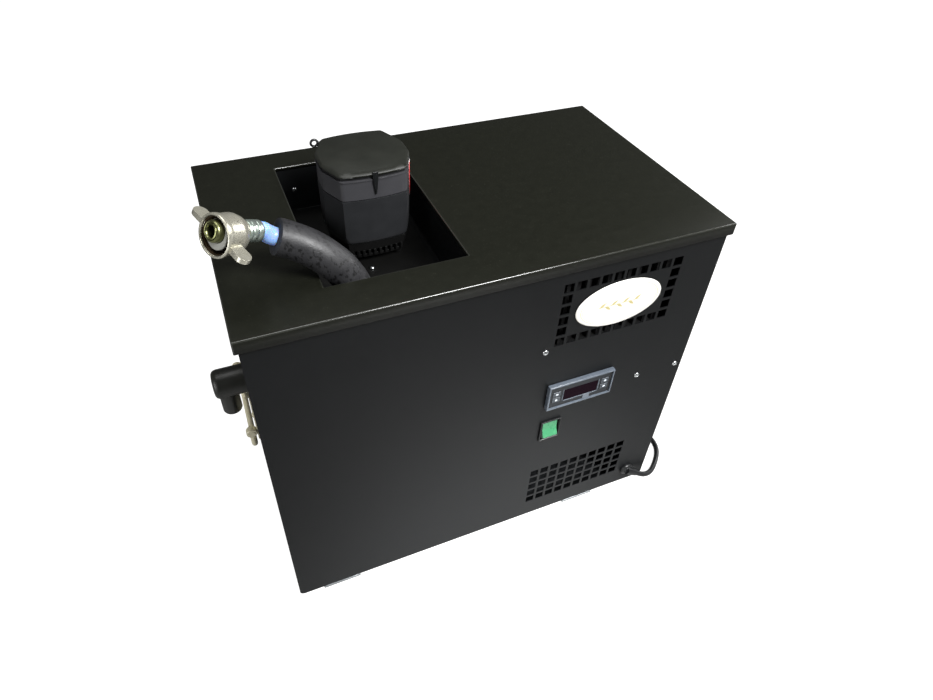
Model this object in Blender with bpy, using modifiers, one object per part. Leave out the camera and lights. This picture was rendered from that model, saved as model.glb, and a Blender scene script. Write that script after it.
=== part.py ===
"""Water-bath beverage cooler: a sheet-steel cabinet with an agitated ice-water bath on the left,
a refrigeration unit on the right, controls on the front and an insulated product hose on top.

Cabinet places are given from the lid's front left corner, with heights above the floor.
"""
import math

import bmesh
import bpy
from mathutils import Matrix, Vector

MM = 0.001
GAP = 0.3 * MM  # clearance between pieces that touch

# Cabinet
LID_WIDTH = 457 * MM
LID_DEPTH = 276 * MM
TOP = 396 * MM
LID_LIP = 12 * MM
OVERHANG = 3.5 * MM
SHEET = 1.0 * MM
FACE_RETURN = 14 * MM
SIDE_RETURN = 9 * MM
CORNER_RADIUS = 5.5 * MM
RAIL_HEIGHT = 4.7 * MM
RAIL_WIDTH = 42.5 * MM
RAIL_INSET_LEFT = 30 * MM
RAIL_INSET_RIGHT = 78 * MM
BASE_UPSTAND = 15 * MM

# Recess in the lid, measured from the lid's left and front edges
RECESS_LEFT = 78 * MM
RECESS_FRONT = 40 * MM
RECESS_WIDTH = 125 * MM
RECESS_LENGTH = 203 * MM
RECESS_DEPTH = 52 * MM
COVER_THICKNESS = 3 * MM

# Water bath
BATH_WIDTH = 247 * MM
FOAM_WALL = 17 * MM
TANK_WALL = 2 * MM
TUBE_RADIUS = 4 * MM
PRODUCT_COIL_RADIUS = 74 * MM
EVAPORATOR_RADIUS = 94 * MM
COIL_PITCH = 34 * MM
COIL_FLOOR = 50 * MM
EVAPORATOR_LEAD_RADIUS = 84 * MM
LEAD_ANGLE = math.radians(-20)
RISER_ANGLE = math.radians(20)
PRODUCT_END = math.radians(250)
PRODUCT_TURNS = 5
EVAPORATOR_TURNS = 4
COIL_POINTS = 18

# Agitator
MOTOR_X = 70 * MM  # from the recess's left edge
MOTOR_Y = 121 * MM  # from the recess's front edge
MOTOR_WIDTH = 82 * MM
MOTOR_DEPTH = 79 * MM
MOTOR_FACE_X = 60 * MM
MOTOR_FACE_Y = 22 * MM
MOTOR_WALL = 2.5 * MM
MOTOR_FEET = 6.7 * MM
BASE_HEIGHT = 17.5 * MM
BODY_HEIGHT = 47.5 * MM
BAND_HEIGHT = 20.7 * MM
CAP_HEIGHT = 5.8 * MM
SHAFT_RADIUS = 4 * MM
ROTOR_RADIUS = 15 * MM
STATOR_RADIUS = 30 * MM
STATOR_HEIGHT = 34 * MM
IMPELLER_RADIUS = 28 * MM
IMPELLER_HEIGHT = 150 * MM

# Product hose
HOSE_RADIUS = 15 * MM
GROMMET_BORE = 18 * MM
GROMMET_FLANGE = 19.3 * MM
INNER_HOSE_RADIUS = 7.3 * MM
NUT_RADIUS = 16.5 * MM
NUT_BORE = 14.3 * MM
NUT_LENGTH = 18 * MM
NUT_CONE = 4 * MM
NUT_DROP = 4 * MM  # how far the loose nut hangs below the tail's tip
NUT_SLIDE = 4.5 * MM  # how far it has slid back from the tip
WING_REACH = 31 * MM
WING_WIDTH = 11 * MM
WING_THICKNESS = 4.5 * MM
WING_SETBACK = 7 * MM
WING_ANGLE = math.radians(104)
TAIL_RADIUS = 8.3 * MM
TAIL_BORE = 4.5 * MM
TAIL_LENGTH = 43.7 * MM
FLANGE_RADIUS = 10.6 * MM
NUT_AXIS = Vector((-0.777, -0.508, 0.371)).normalized()
TAIL_AXIS = Vector((-0.772, -0.447, 0.452)).normalized()

# Front panel
HOLE_SIZE = 10 * MM
HOLE_PITCH = 13 * MM
GRILLE_X = 344.5 * MM
UPPER_GRILLE_Z = 331.5 * MM
LOWER_GRILLE_Z = 63 * MM
GRILLE_COLUMNS = 10
UPPER_ROWS = 6
LOWER_ROWS = 5
BADGE_WIDTH = 94 * MM
BADGE_HEIGHT = 53 * MM
BADGE_THICKNESS = 2 * MM
CONTROLLER_X = 320.7 * MM
CONTROLLER_Z = 222.5 * MM
CONTROLLER_WIDTH = 77 * MM
CONTROLLER_HEIGHT = 34.5 * MM
CONTROLLER_PROUD = 5.5 * MM
CONTROLLER_DEPTH = 50 * MM
CONTROLLER_RIM = 3 * MM
DISPLAY_WIDTH = 40 * MM
DISPLAY_HEIGHT = 15 * MM
BUTTON_WIDTH = 9.6 * MM
BUTTON_HEIGHT = 7.2 * MM
BUTTON_SPREAD = 28.5 * MM
BUTTON_RISE = 4.2 * MM
BUTTON_TRAVEL = 0.8 * MM
ROCKER_X = 293.8 * MM
ROCKER_Z = 167.3 * MM
ROCKER_WIDTH = 24.4 * MM
ROCKER_HEIGHT = 30.5 * MM
ROCKER_RIM = 3 * MM
ROCKER_PROUD = 2.2 * MM
ROCKER_CREST = 3.2 * MM
ROCKER_TILT = math.radians(9)
SCREW_HEAD = 3.25 * MM
SCREW_SHANK = 1.7 * MM
PANEL_SCREWS = {
    "panel_screw_left": (272.3 * MM, 289.7 * MM),
    "panel_screw_middle": (394.7 * MM, 213.7 * MM),
    "panel_screw_right": (444.7 * MM, 213.7 * MM),
}

# Refrigeration unit
COMPRESSOR_X = 362 * MM
COMPRESSOR_Y = 180 * MM
COMPRESSOR_RADIUS = 66 * MM
COMPRESSOR_HEIGHT = 150 * MM
MOUNT_HEIGHT = 14 * MM
CONDENSER_WIDTH = 132 * MM
CONDENSER_HEIGHT = 118 * MM
CONDENSER_DEPTH = 38 * MM
FIN_PITCH = 11 * MM
FIN_SLOT = 7 * MM
FAN_RADIUS = 46 * MM
FAN_DEPTH = 16 * MM
DRIER_RADIUS = 10 * MM
DRIER_LENGTH = 80 * MM

# Side fittings
ELBOW_RADIUS = 14.3 * MM
ELBOW_REACH = 31 * MM
ELBOW_Y = 100 * MM
ELBOW_Z = 261 * MM
ELBOW_NECK = 10 * MM
SPIGOT_RADIUS = 9.2 * MM
SPIGOT_BORE = 6.5 * MM
SPIGOT_LENGTH = 22.5 * MM
SPIGOT_SHARE = 0.6  # of the elbow's reach, from the wall
HANDLE_Y = 138 * MM
HANDLE_Z = 208 * MM
HANDLE_PLATE_LENGTH = 100 * MM
HANDLE_PLATE_HEIGHT = 63 * MM
HANDLE_PLATE_THICKNESS = 2.2 * MM
HANDLE_SPAN = 82 * MM
HANDLE_DROP = 34 * MM
HANDLE_WIRE = 3.3 * MM
HANDLE_PIN = 2.6 * MM
HANDLE_PIVOT_BELOW = 14 * MM
LUG_RADIUS = 5.6 * MM
LUG_LENGTH = 7 * MM

# Mains lead
CORD_RADIUS = 3.25 * MM
GLAND_INSET = 32 * MM
GLAND_Z = 30 * MM
GLAND_RADIUS = 8.5 * MM
GLAND_NECK = 6 * MM
GLAND_HEAD = 4.5 * MM
COIL_CLEAR = 57 * MM  # from the lid's right edge to the middle of the coiled lead
COIL_Y = 135 * MM
COIL_RADIUS = 37 * MM
COIL_BAND = 13.5 * MM
COIL_HEIGHT = 19.5 * MM
PLUG_RADIUS = 17.5 * MM
PLUG_LENGTH = 38 * MM
PIN_RADIUS = 2.4 * MM
PIN_LENGTH = 19 * MM
PIN_SPREAD = 9.5 * MM
# The lead in millimetres: from the lid's front right corner, with heights above the floor
CORD_ROUTE = [
    (-19.5, -4.2, 23.2), (-11.5, -6.2, 18.6), (-4.0, -6.3, 15.0), (4.0, -4.2, 11.6),
    (12.5, 0.4, 8.4), (21.0, 6.6, 5.6), (29.0, 13.4, 4.0), (36.0, 20.6, 3.4),
    (41.6, 29.0, 3.4), (44.5, 38.5, 3.4), (44.0, 48.5, 3.4), (40.5, 59.0, 3.4),
    (34.5, 71.0, 3.4), (27.5, 84.0, 3.4), (22.3, 98.0, 3.4),
]
# The hose and its inner tube in millimetres: from the recess's front left corner and the bath cover
HOSE_ROUTE = [
    (39.0, 22.0, -66.0), (39.0, 22.0, -38.0), (38.5, 21.6, -18.0), (36.6, 20.6, 0.0),
    (33.2, 19.0, 18.0), (27.4, 17.5, 36.4), (19.0, 16.7, 53.6), (10.0, 17.8, 64.9),
    (0.4, 21.0, 73.7), (-9.6, 24.2, 80.2), (-21.0, 26.4, 86.4), (-27.0, 26.7, 89.4),
]
INNER_ROUTE = [(-28.0, 26.8, 89.9), (-30.4, 27.0, 91.2), (-33.2, 27.2, 93.6), (-36.5, 26.6, 96.9),
               (-39.6, 24.8, 98.7)]

# Derived places
ELBOW_TIP = OVERHANG - ELBOW_REACH
HANDLE_TIP = LID_WIDTH - OVERHANG + HANDLE_PLATE_THICKNESS + GAP + 2 * LUG_RADIUS
CENTRE_X = (ELBOW_TIP + HANDLE_TIP) / 2
CENTRE_Y = (LID_DEPTH + OVERHANG - CONTROLLER_PROUD) / 2
PANEL_BOTTOM = RAIL_HEIGHT + GAP
PANEL_TOP = TOP - SHEET - GAP
FRONT = OVERHANG
BACK = LID_DEPTH - OVERHANG
LEFT = OVERHANG
RIGHT = LID_WIDTH - OVERHANG
GLAND_X = LID_WIDTH - GLAND_INSET
COIL_X = LID_WIDTH + COIL_CLEAR
COVER_TOP = TOP - RECESS_DEPTH
HOSE_CORNER = (RECESS_LEFT, RECESS_FRONT, COVER_TOP)
LEAD_CORNER = (LID_WIDTH, 0, 0)
BASE_FLOOR = PANEL_BOTTOM + SHEET + GAP
BATH_LEFT = LEFT + SIDE_RETURN + 3 * GAP + SHEET
BATH_FRONT = FRONT + 2 * SHEET + 2 * GAP
BATH_BACK = BACK - 2 * SHEET - 2 * GAP
BATH_CENTRE = (BATH_LEFT + BATH_WIDTH / 2, (BATH_FRONT + BATH_BACK) / 2)
MOTOR_CENTRE = (RECESS_LEFT + MOTOR_X, RECESS_FRONT + MOTOR_Y)
MOTOR_BASE = COVER_TOP + GAP + MOTOR_FEET
BODY_BOTTOM = MOTOR_BASE + BASE_HEIGHT + GAP
BAND_BOTTOM = BODY_BOTTOM + BODY_HEIGHT + GAP
CAP_BOTTOM = BAND_BOTTOM + BAND_HEIGHT + GAP
CAP_TOP = CAP_BOTTOM + CAP_HEIGHT
MACHINE_LEFT = BATH_LEFT + BATH_WIDTH
RISER_TOP = COVER_TOP + 20 * MM
CONDENSER_BACK = FRONT + SHEET + 12 * MM + CONDENSER_DEPTH

MATERIALS = {
    "powder_coat": ((0.018, 0.018, 0.018), 0.45, 0.0),
    "galvanised": ((0.55, 0.56, 0.57), 0.45, 1.0),
    "black_plastic": ((0.02, 0.02, 0.022), 0.5, 0.0),
    "grey_plastic": ((0.10, 0.12, 0.14), 0.5, 0.0),
    "foam": ((0.8, 0.78, 0.7), 0.9, 0.0),
    "white_plastic": ((0.75, 0.76, 0.76), 0.5, 0.0),
    "stainless": ((0.6, 0.6, 0.6), 0.25, 1.0),
    "copper": ((0.7, 0.33, 0.2), 0.3, 1.0),
    "aluminium": ((0.7, 0.7, 0.7), 0.4, 1.0),
    "black_paint": ((0.015, 0.015, 0.015), 0.3, 0.0),
    "nickel": ((0.66, 0.62, 0.52), 0.3, 1.0),
    "rubber_foam": ((0.03, 0.03, 0.032), 0.85, 0.0),
    "clear_hose": ((0.45, 0.6, 0.85), 0.3, 0.0),
    "rubber": ((0.02, 0.02, 0.02), 0.7, 0.0),
    "screen": ((0.02, 0.004, 0.015), 0.15, 0.0),
    "button_grey": ((0.32, 0.35, 0.38), 0.5, 0.0),
    "green_lens": ((0.05, 0.5, 0.2), 0.25, 0.0),
    "badge_white": ((0.85, 0.84, 0.8), 0.2, 0.0),
    "steel": ((0.5, 0.5, 0.5), 0.35, 1.0),
}


def place(x, y, z):
    """World point from cabinet places."""
    return Vector((x - CENTRE_X, y - CENTRE_Y, z))


def clear_scene():
    for old in list(bpy.data.objects):
        bpy.data.objects.remove(old, do_unlink=True)


def new_collection(name):
    made = bpy.data.collections.new(name)
    bpy.context.scene.collection.children.link(made)
    return made


def material(kind, owner):
    colour, roughness, metallic = MATERIALS[kind]
    made = bpy.data.materials.new(f"{owner}_{kind}")
    made.use_nodes = True
    shader = made.node_tree.nodes["Principled BSDF"]
    shader.inputs["Base Color"].default_value = (*colour, 1.0)
    shader.inputs["Roughness"].default_value = roughness
    shader.inputs["Metallic"].default_value = metallic
    return made


def add_part(name, data, kind, location=(0, 0, 0)):
    made = bpy.data.objects.new(name, data)
    made.location = location
    parts.objects.link(made)
    data.materials.append(material(kind, name))
    return made


def add_cutter(name, data, location=(0, 0, 0)):
    made = bpy.data.objects.new(name, data)
    made.location = location
    made.hide_render = True
    made.display_type = "WIRE"
    cutters.objects.link(made)
    return made


def mesh_from(bm, name):
    data = bpy.data.meshes.new(name)
    bm.to_mesh(data)
    bm.free()
    return data


def box_mesh(name, low, high):
    """A box between two corners."""
    low, high = Vector(low), Vector(high)
    size = high - low
    bm = bmesh.new()
    bmesh.ops.create_cube(bm, size=1.0)
    bmesh.ops.scale(bm, vec=size, verts=bm.verts)
    bmesh.ops.translate(bm, vec=(low + high) / 2, verts=bm.verts)
    return mesh_from(bm, name)


def boxes_mesh(name, corners):
    """Several loose boxes in one mesh, for cutters."""
    bm = bmesh.new()
    for low, high in corners:
        made = bmesh.ops.create_cube(bm, size=1.0)["verts"]
        bmesh.ops.scale(bm, vec=Vector(high) - Vector(low), verts=made)
        bmesh.ops.translate(bm, vec=(Vector(low) + Vector(high)) / 2, verts=made)
    return mesh_from(bm, name)


def rod_mesh(name, radius, length, sides=24, turn=None):
    """A cylinder from the origin along +Z, turned by a matrix where one is given."""
    bm = bmesh.new()
    bmesh.ops.create_cone(bm, cap_ends=True, segments=sides, radius1=radius, radius2=radius,
                          depth=length)
    bmesh.ops.translate(bm, vec=(0, 0, length / 2), verts=bm.verts)
    if turn is not None:
        bmesh.ops.transform(bm, matrix=turn, verts=bm.verts)
    return mesh_from(bm, name)


def tray_mesh(name, low, high, open_sides, rounded=0.0):
    """A box surface between two corners, without its open sides."""
    low, high = Vector(low), Vector(high)
    bm = bmesh.new()
    bmesh.ops.create_cube(bm, size=1.0)
    bmesh.ops.scale(bm, vec=high - low, verts=bm.verts)
    bmesh.ops.translate(bm, vec=(low + high) / 2, verts=bm.verts)
    if rounded:
        bottom = [e for e in bm.edges if all(v.co.z < low.z + rounded for v in e.verts)
                  and abs(e.verts[0].co.x - e.verts[1].co.x) < GAP]
        bmesh.ops.bevel(bm, geom=bottom, offset=rounded, affect="EDGES", segments=4, profile=0.5,
                        material=-1)
    gone = [f for f in bm.faces if any(f.normal.dot(Vector(side)) > 0.99 for side in open_sides)]
    bmesh.ops.delete(bm, geom=gone, context="FACES")
    return mesh_from(bm, name)


def solidify(part, wall, outwards=False):
    made = part.modifiers.new("wall", "SOLIDIFY")
    made.thickness = wall
    made.offset = 1.0 if outwards else -1.0
    made.use_even_offset = True


def bevel(part, width, segments=2, angle=40):
    made = part.modifiers.new("edges", "BEVEL")
    made.width = width
    made.segments = segments
    made.limit_method = "ANGLE"
    made.angle_limit = math.radians(angle)


def cut(part, cutter, operation="DIFFERENCE"):
    made = part.modifiers.new(cutter.name, "BOOLEAN")
    made.operation = operation
    made.solver = "EXACT"
    made.object = cutter


def turned(name, profile, kind, location, steps=24, turn=None):
    """A profile of (radius, height) points, top to bottom on its outer side, turned about Z."""
    bm = bmesh.new()
    closed = profile[0] == profile[-1]
    points = [bm.verts.new((radius, 0, height)) for radius, height in profile[:len(profile) - closed]]
    for first, second in zip(points, points[1:] + points[:closed]):
        bm.edges.new((first, second))
    part = add_part(name, mesh_from(bm, name), kind, location)
    if turn is not None:
        part.rotation_euler = turn.to_euler()
    spin = part.modifiers.new("turn", "SCREW")
    spin.steps = steps
    spin.render_steps = steps
    spin.use_merge_vertices = True
    spin.merge_threshold = 0.00001
    return part


def ring_profile(inner, outer, bottom, top):
    """A closed square ring section, outer side running downwards."""
    return [(inner, top), (outer, top), (outer, bottom), (inner, bottom), (inner, top)]


def tube(name, points, radius, kind, resolution=2):
    """A round tube along points, with closed ends."""
    data = bpy.data.curves.new(name, "CURVE")
    data.dimensions = "3D"
    data.bevel_depth = radius
    data.bevel_resolution = resolution
    data.use_fill_caps = True
    spline = data.splines.new("POLY")
    spline.points.add(len(points) - 1)
    for target, point in zip(spline.points, points):
        target.co = (*point, 1.0)
    return add_part(name, data, kind)


def smooth_route(points, step):
    """Points about a step apart on a smooth curve through the route's own points."""
    ends = [points[0] * 2 - points[1]] + points + [points[-1] * 2 - points[-2]]
    dense = []
    for before, start, stop, after in zip(ends, ends[1:], ends[2:], ends[3:]):
        count = max(1, round((stop - start).length / step))
        for index in range(count):
            t = index / count
            dense.append(0.5 * (2 * start + (stop - before) * t
                                + (2 * before - 5 * start + 4 * stop - after) * t ** 2
                                + (3 * start - before - 3 * stop + after) * t ** 3))
    return dense + [points[-1]]


def outline_mesh(name, points, thickness):
    """A flat outline in XY, extruded both ways along Z to a thickness."""
    data = bpy.data.curves.new(name, "CURVE")
    data.dimensions = "2D"
    data.fill_mode = "BOTH"
    data.extrude = thickness / 2
    spline = data.splines.new("POLY")
    spline.points.add(len(points) - 1)
    for target, (x, y) in zip(spline.points, points):
        target.co = (x, y, 0.0, 1.0)
    spline.use_cyclic_u = True
    guide = bpy.data.objects.new(name, data)
    cutters.objects.link(guide)
    solid = bpy.data.meshes.new_from_object(guide.evaluated_get(bpy.context.evaluated_depsgraph_get()))
    bpy.data.objects.remove(guide, do_unlink=True)
    bm = bmesh.new()
    bm.from_mesh(solid)
    bmesh.ops.remove_doubles(bm, verts=bm.verts, dist=0.00001)
    bm.to_mesh(solid)
    bm.free()
    return solid


def hole(part, name, centre, radius, length, axis="Z", sides=24):
    """Cuts a round hole through a point, half its length each way along an axis."""
    turns = {
        "X": Matrix.Rotation(math.radians(90), 4, "Y"),
        "Y": Matrix.Rotation(math.radians(90), 4, "X"),
        "Z": Matrix.Identity(4),
    }
    shift = Matrix.Translation((0, 0, -length / 2))
    data = rod_mesh(name, radius, length, sides, turns[axis] @ shift)
    cut(part, add_cutter(name, data, centre))


def square_holes(rows, centre_z, face, edge_only=False):
    """Corners of the cutters of a grid of square holes through a panel's face."""
    found = []
    half = HOLE_SIZE / 2
    reach = 4 * SHEET
    for column in range(GRILLE_COLUMNS):
        for row in range(rows):
            on_edge = column in (0, GRILLE_COLUMNS - 1) or row in (0, rows - 1)
            if edge_only and not on_edge:
                continue
            x = GRILLE_X + (column - (GRILLE_COLUMNS - 1) / 2) * HOLE_PITCH
            z = centre_z + (row - (rows - 1) / 2) * HOLE_PITCH
            found.append((place(x - half, face - reach, z - half), place(x + half, face + reach, z + half)))
    return found


def make_cabinet():
    """Base tray, rails, four panels and the lid."""
    for name, inset in (("left", RAIL_INSET_LEFT), ("right", LID_WIDTH - RAIL_INSET_RIGHT - RAIL_WIDTH)):
        rail = add_part(f"foot_rail_{name}", box_mesh(
            "rail", place(inset, FRONT, 0), place(inset + RAIL_WIDTH, BACK, RAIL_HEIGHT)), "galvanised")
        bevel(rail, 0.6 * MM, 1)
    base = add_part("base_tray", tray_mesh(
        "base", place(LEFT + SIDE_RETURN + GAP, FRONT + SHEET + GAP, BASE_FLOOR),
        place(RIGHT - SIDE_RETURN - GAP, BACK - SHEET - GAP, BASE_FLOOR + BASE_UPSTAND),
        [(0, 0, 1)]), "galvanised")
    solidify(base, SHEET)

    front = add_part("front_panel", tray_mesh(
        "front", place(LEFT, FRONT, PANEL_BOTTOM), place(RIGHT, FRONT + FACE_RETURN, PANEL_TOP),
        [(0, 1, 0)], CORNER_RADIUS), "powder_coat")
    solidify(front, SHEET)
    rear = add_part("rear_panel", tray_mesh(
        "rear", place(LEFT, BACK - FACE_RETURN, PANEL_BOTTOM), place(RIGHT, BACK, PANEL_TOP),
        [(0, -1, 0)], CORNER_RADIUS), "powder_coat")
    solidify(rear, SHEET)
    side_front = FRONT + FACE_RETURN + GAP
    side_back = BACK - FACE_RETURN - GAP
    left = add_part("left_panel", tray_mesh(
        "left", place(LEFT, side_front, PANEL_BOTTOM), place(LEFT + SIDE_RETURN, side_back, PANEL_TOP),
        [(1, 0, 0)]), "powder_coat")
    solidify(left, SHEET)
    right = add_part("right_panel", tray_mesh(
        "right", place(RIGHT - SIDE_RETURN, side_front, PANEL_BOTTOM), place(RIGHT, side_back, PANEL_TOP),
        [(-1, 0, 0)]), "powder_coat")
    solidify(right, SHEET)

    lid = add_part("lid", tray_mesh(
        "lid", place(0, 0, TOP - LID_LIP), place(LID_WIDTH, LID_DEPTH, TOP), [(0, 0, -1)]), "powder_coat")
    solidify(lid, SHEET)
    cut(lid, add_cutter("lid_opening", box_mesh(
        "opening", place(RECESS_LEFT, RECESS_FRONT, TOP - LID_LIP),
        place(RECESS_LEFT + RECESS_WIDTH, RECESS_FRONT + RECESS_LENGTH, TOP + LID_LIP))))
    return front, rear, left


def cut_front(front):
    """Grilles and cut-outs of the front panel."""
    corners = square_holes(UPPER_ROWS, UPPER_GRILLE_Z, FRONT, edge_only=True)
    corners += square_holes(LOWER_ROWS, LOWER_GRILLE_Z, FRONT)
    reach = 4 * SHEET
    for x, z, width, height, rim in (
            (CONTROLLER_X, CONTROLLER_Z, CONTROLLER_WIDTH, CONTROLLER_HEIGHT, CONTROLLER_RIM),
            (ROCKER_X, ROCKER_Z, ROCKER_WIDTH, ROCKER_HEIGHT, ROCKER_RIM / 2)):
        half_x, half_z = width / 2 - rim, height / 2 - rim
        corners.append((place(x - half_x, FRONT - reach, z - half_z),
                        place(x + half_x, FRONT + reach, z + half_z)))
    cut(front, add_cutter("front_cuts", boxes_mesh("front_cuts", corners)))
    for name, (x, z) in PANEL_SCREWS.items():
        hole(front, f"{name}_hole", place(x, FRONT, z), SCREW_SHANK + GAP, 2 * reach, "Y", 12)
    hole(front, "gland_hole", place(GLAND_X, FRONT, GLAND_Z), GLAND_NECK + GAP, 2 * reach, "Y")


def cut_rear(rear):
    """Warm-air outlet behind the refrigeration unit."""
    corners = square_holes(LOWER_ROWS, UPPER_GRILLE_Z, BACK)
    cut(rear, add_cutter("rear_cuts", boxes_mesh("rear_cuts", corners)))


def cut_left(left):
    """Hole for the overflow elbow's neck."""
    hole(left, "elbow_hole", place(LEFT, ELBOW_Y, ELBOW_Z), ELBOW_NECK + GAP, 8 * SHEET, "X")


def make_recess():
    """Collar round the recess, and the bath cover that is its floor."""
    collar = add_part("recess_collar", tray_mesh(
        "collar", place(RECESS_LEFT, RECESS_FRONT, COVER_TOP + GAP),
        place(RECESS_LEFT + RECESS_WIDTH, RECESS_FRONT + RECESS_LENGTH, TOP - SHEET - GAP),
        [(0, 0, 1), (0, 0, -1)]), "powder_coat")
    solidify(collar, SHEET, outwards=True)
    cover = add_part("bath_cover", box_mesh(
        "cover", place(BATH_LEFT, BATH_FRONT, COVER_TOP - COVER_THICKNESS),
        place(BATH_LEFT + BATH_WIDTH, BATH_BACK, COVER_TOP)), "black_plastic")
    through = 4 * COVER_THICKNESS
    hole(cover, "shaft_hole", place(*MOTOR_CENTRE, COVER_TOP), SHAFT_RADIUS + 3 * MM, through)
    hole(cover, "hose_hole", hose_at(COVER_TOP), GROMMET_BORE, through, sides=32)
    hole(cover, "riser_hole_down", coil_point(EVAPORATOR_LEAD_RADIUS, LEAD_ANGLE, COVER_TOP),
         TUBE_RADIUS + 1 * MM, through, sides=16)
    hole(cover, "riser_hole_up", coil_point(EVAPORATOR_RADIUS, RISER_ANGLE, COVER_TOP),
         TUBE_RADIUS + 1 * MM, through, sides=16)


def coil_point(radius, angle, height):
    """A point on a circle round the middle of the bath."""
    x, y = BATH_CENTRE
    return place(x + radius * math.cos(angle), y + radius * math.sin(angle), height)


def helix(radius, start, end, low, high):
    """Points on a coil round the middle of the bath."""
    count = round(COIL_POINTS * (end - start) / (2 * math.pi))
    return [coil_point(radius, start + (end - start) * step / count, low + (high - low) * step / count)
            for step in range(count + 1)]


def make_bath():
    """Insulation, tank and the two coils in the water."""
    top = COVER_TOP - COVER_THICKNESS - GAP
    floor = BASE_FLOOR + SHEET + GAP
    low = place(BATH_LEFT, BATH_FRONT, floor)
    high = place(BATH_LEFT + BATH_WIDTH, BATH_BACK, top)
    foam = add_part("bath_insulation", tray_mesh("foam", low, high, [(0, 0, 1)]), "foam")
    solidify(foam, FOAM_WALL)
    inset = FOAM_WALL + GAP
    tank = add_part("bath_tank", tray_mesh(
        "tank", low + Vector((inset, inset, inset)), high - Vector((inset, inset, 0)), [(0, 0, 1)]),
        "white_plastic")
    solidify(tank, TANK_WALL)

    bottom = floor + FOAM_WALL + TANK_WALL + COIL_FLOOR
    product = helix(PRODUCT_COIL_RADIUS, PRODUCT_END - 2 * math.pi * PRODUCT_TURNS, PRODUCT_END,
                    bottom, bottom + PRODUCT_TURNS * COIL_PITCH)
    outlet = route(HOSE_ROUTE, HOSE_CORNER)[0] - Vector((0, 0, GAP))
    bend = outlet - Vector((0, 0, 12 * MM))
    product += [product[-1].lerp(bend, step / 3) for step in (1, 2, 3)]
    tube("product_coil", product + [outlet], TUBE_RADIUS, "stainless")

    coil = helix(EVAPORATOR_RADIUS, LEAD_ANGLE - 2 * math.pi * EVAPORATOR_TURNS, RISER_ANGLE,
                 bottom, bottom + EVAPORATOR_TURNS * COIL_PITCH)
    lead = [coil_point(EVAPORATOR_LEAD_RADIUS, LEAD_ANGLE, height)
            for height in (RISER_TOP, COVER_TOP, bottom + 8 * MM)]
    riser = coil_point(EVAPORATOR_RADIUS, RISER_ANGLE, RISER_TOP)
    tube("evaporator_coil", lead + coil + [riser], TUBE_RADIUS, "copper")


def octagon(scale):
    """The agitator housing's outline about its own middle, and its bowed front and back."""
    half_x, half_y = MOTOR_WIDTH / 2 * scale, MOTOR_DEPTH / 2 * scale
    face_x, face_y = MOTOR_FACE_X / 2 * scale, MOTOR_FACE_Y / 2 * scale
    bow = 3 * MM
    quarter = [(half_x, face_y), (face_x, half_y - bow)]
    front = [(face_x * share, half_y - bow * share ** 2) for share in (0.6, 0.2)]
    corner = quarter + front
    back = [(-x, y) for x, y in reversed(corner)]
    upper = corner + back
    return upper + [(-x, -y) for x, y in upper]


def housing_mesh(name, bottom, top, bottom_scale, top_scale, open_top=False, open_bottom=False):
    """A prism on the housing's outline, between two heights."""
    bm = bmesh.new()
    low = [bm.verts.new((x, y, bottom)) for x, y in octagon(bottom_scale)]
    face = bm.faces.new(low)
    face.normal_update()
    raised = bmesh.ops.extrude_face_region(bm, geom=[face])["geom"]
    for vert in (item for item in raised if isinstance(item, bmesh.types.BMVert)):
        ratio = top_scale / bottom_scale
        vert.co = (vert.co.x * ratio, vert.co.y * ratio, top)
    bmesh.ops.recalc_face_normals(bm, faces=bm.faces)
    gone = []
    for item in bm.faces:
        height = item.calc_center_median().z
        if (open_top and abs(height - top) < GAP) or (open_bottom and abs(height - bottom) < GAP):
            gone.append(item)
    bmesh.ops.delete(bm, geom=gone, context="FACES_ONLY")
    return mesh_from(bm, name)


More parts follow.
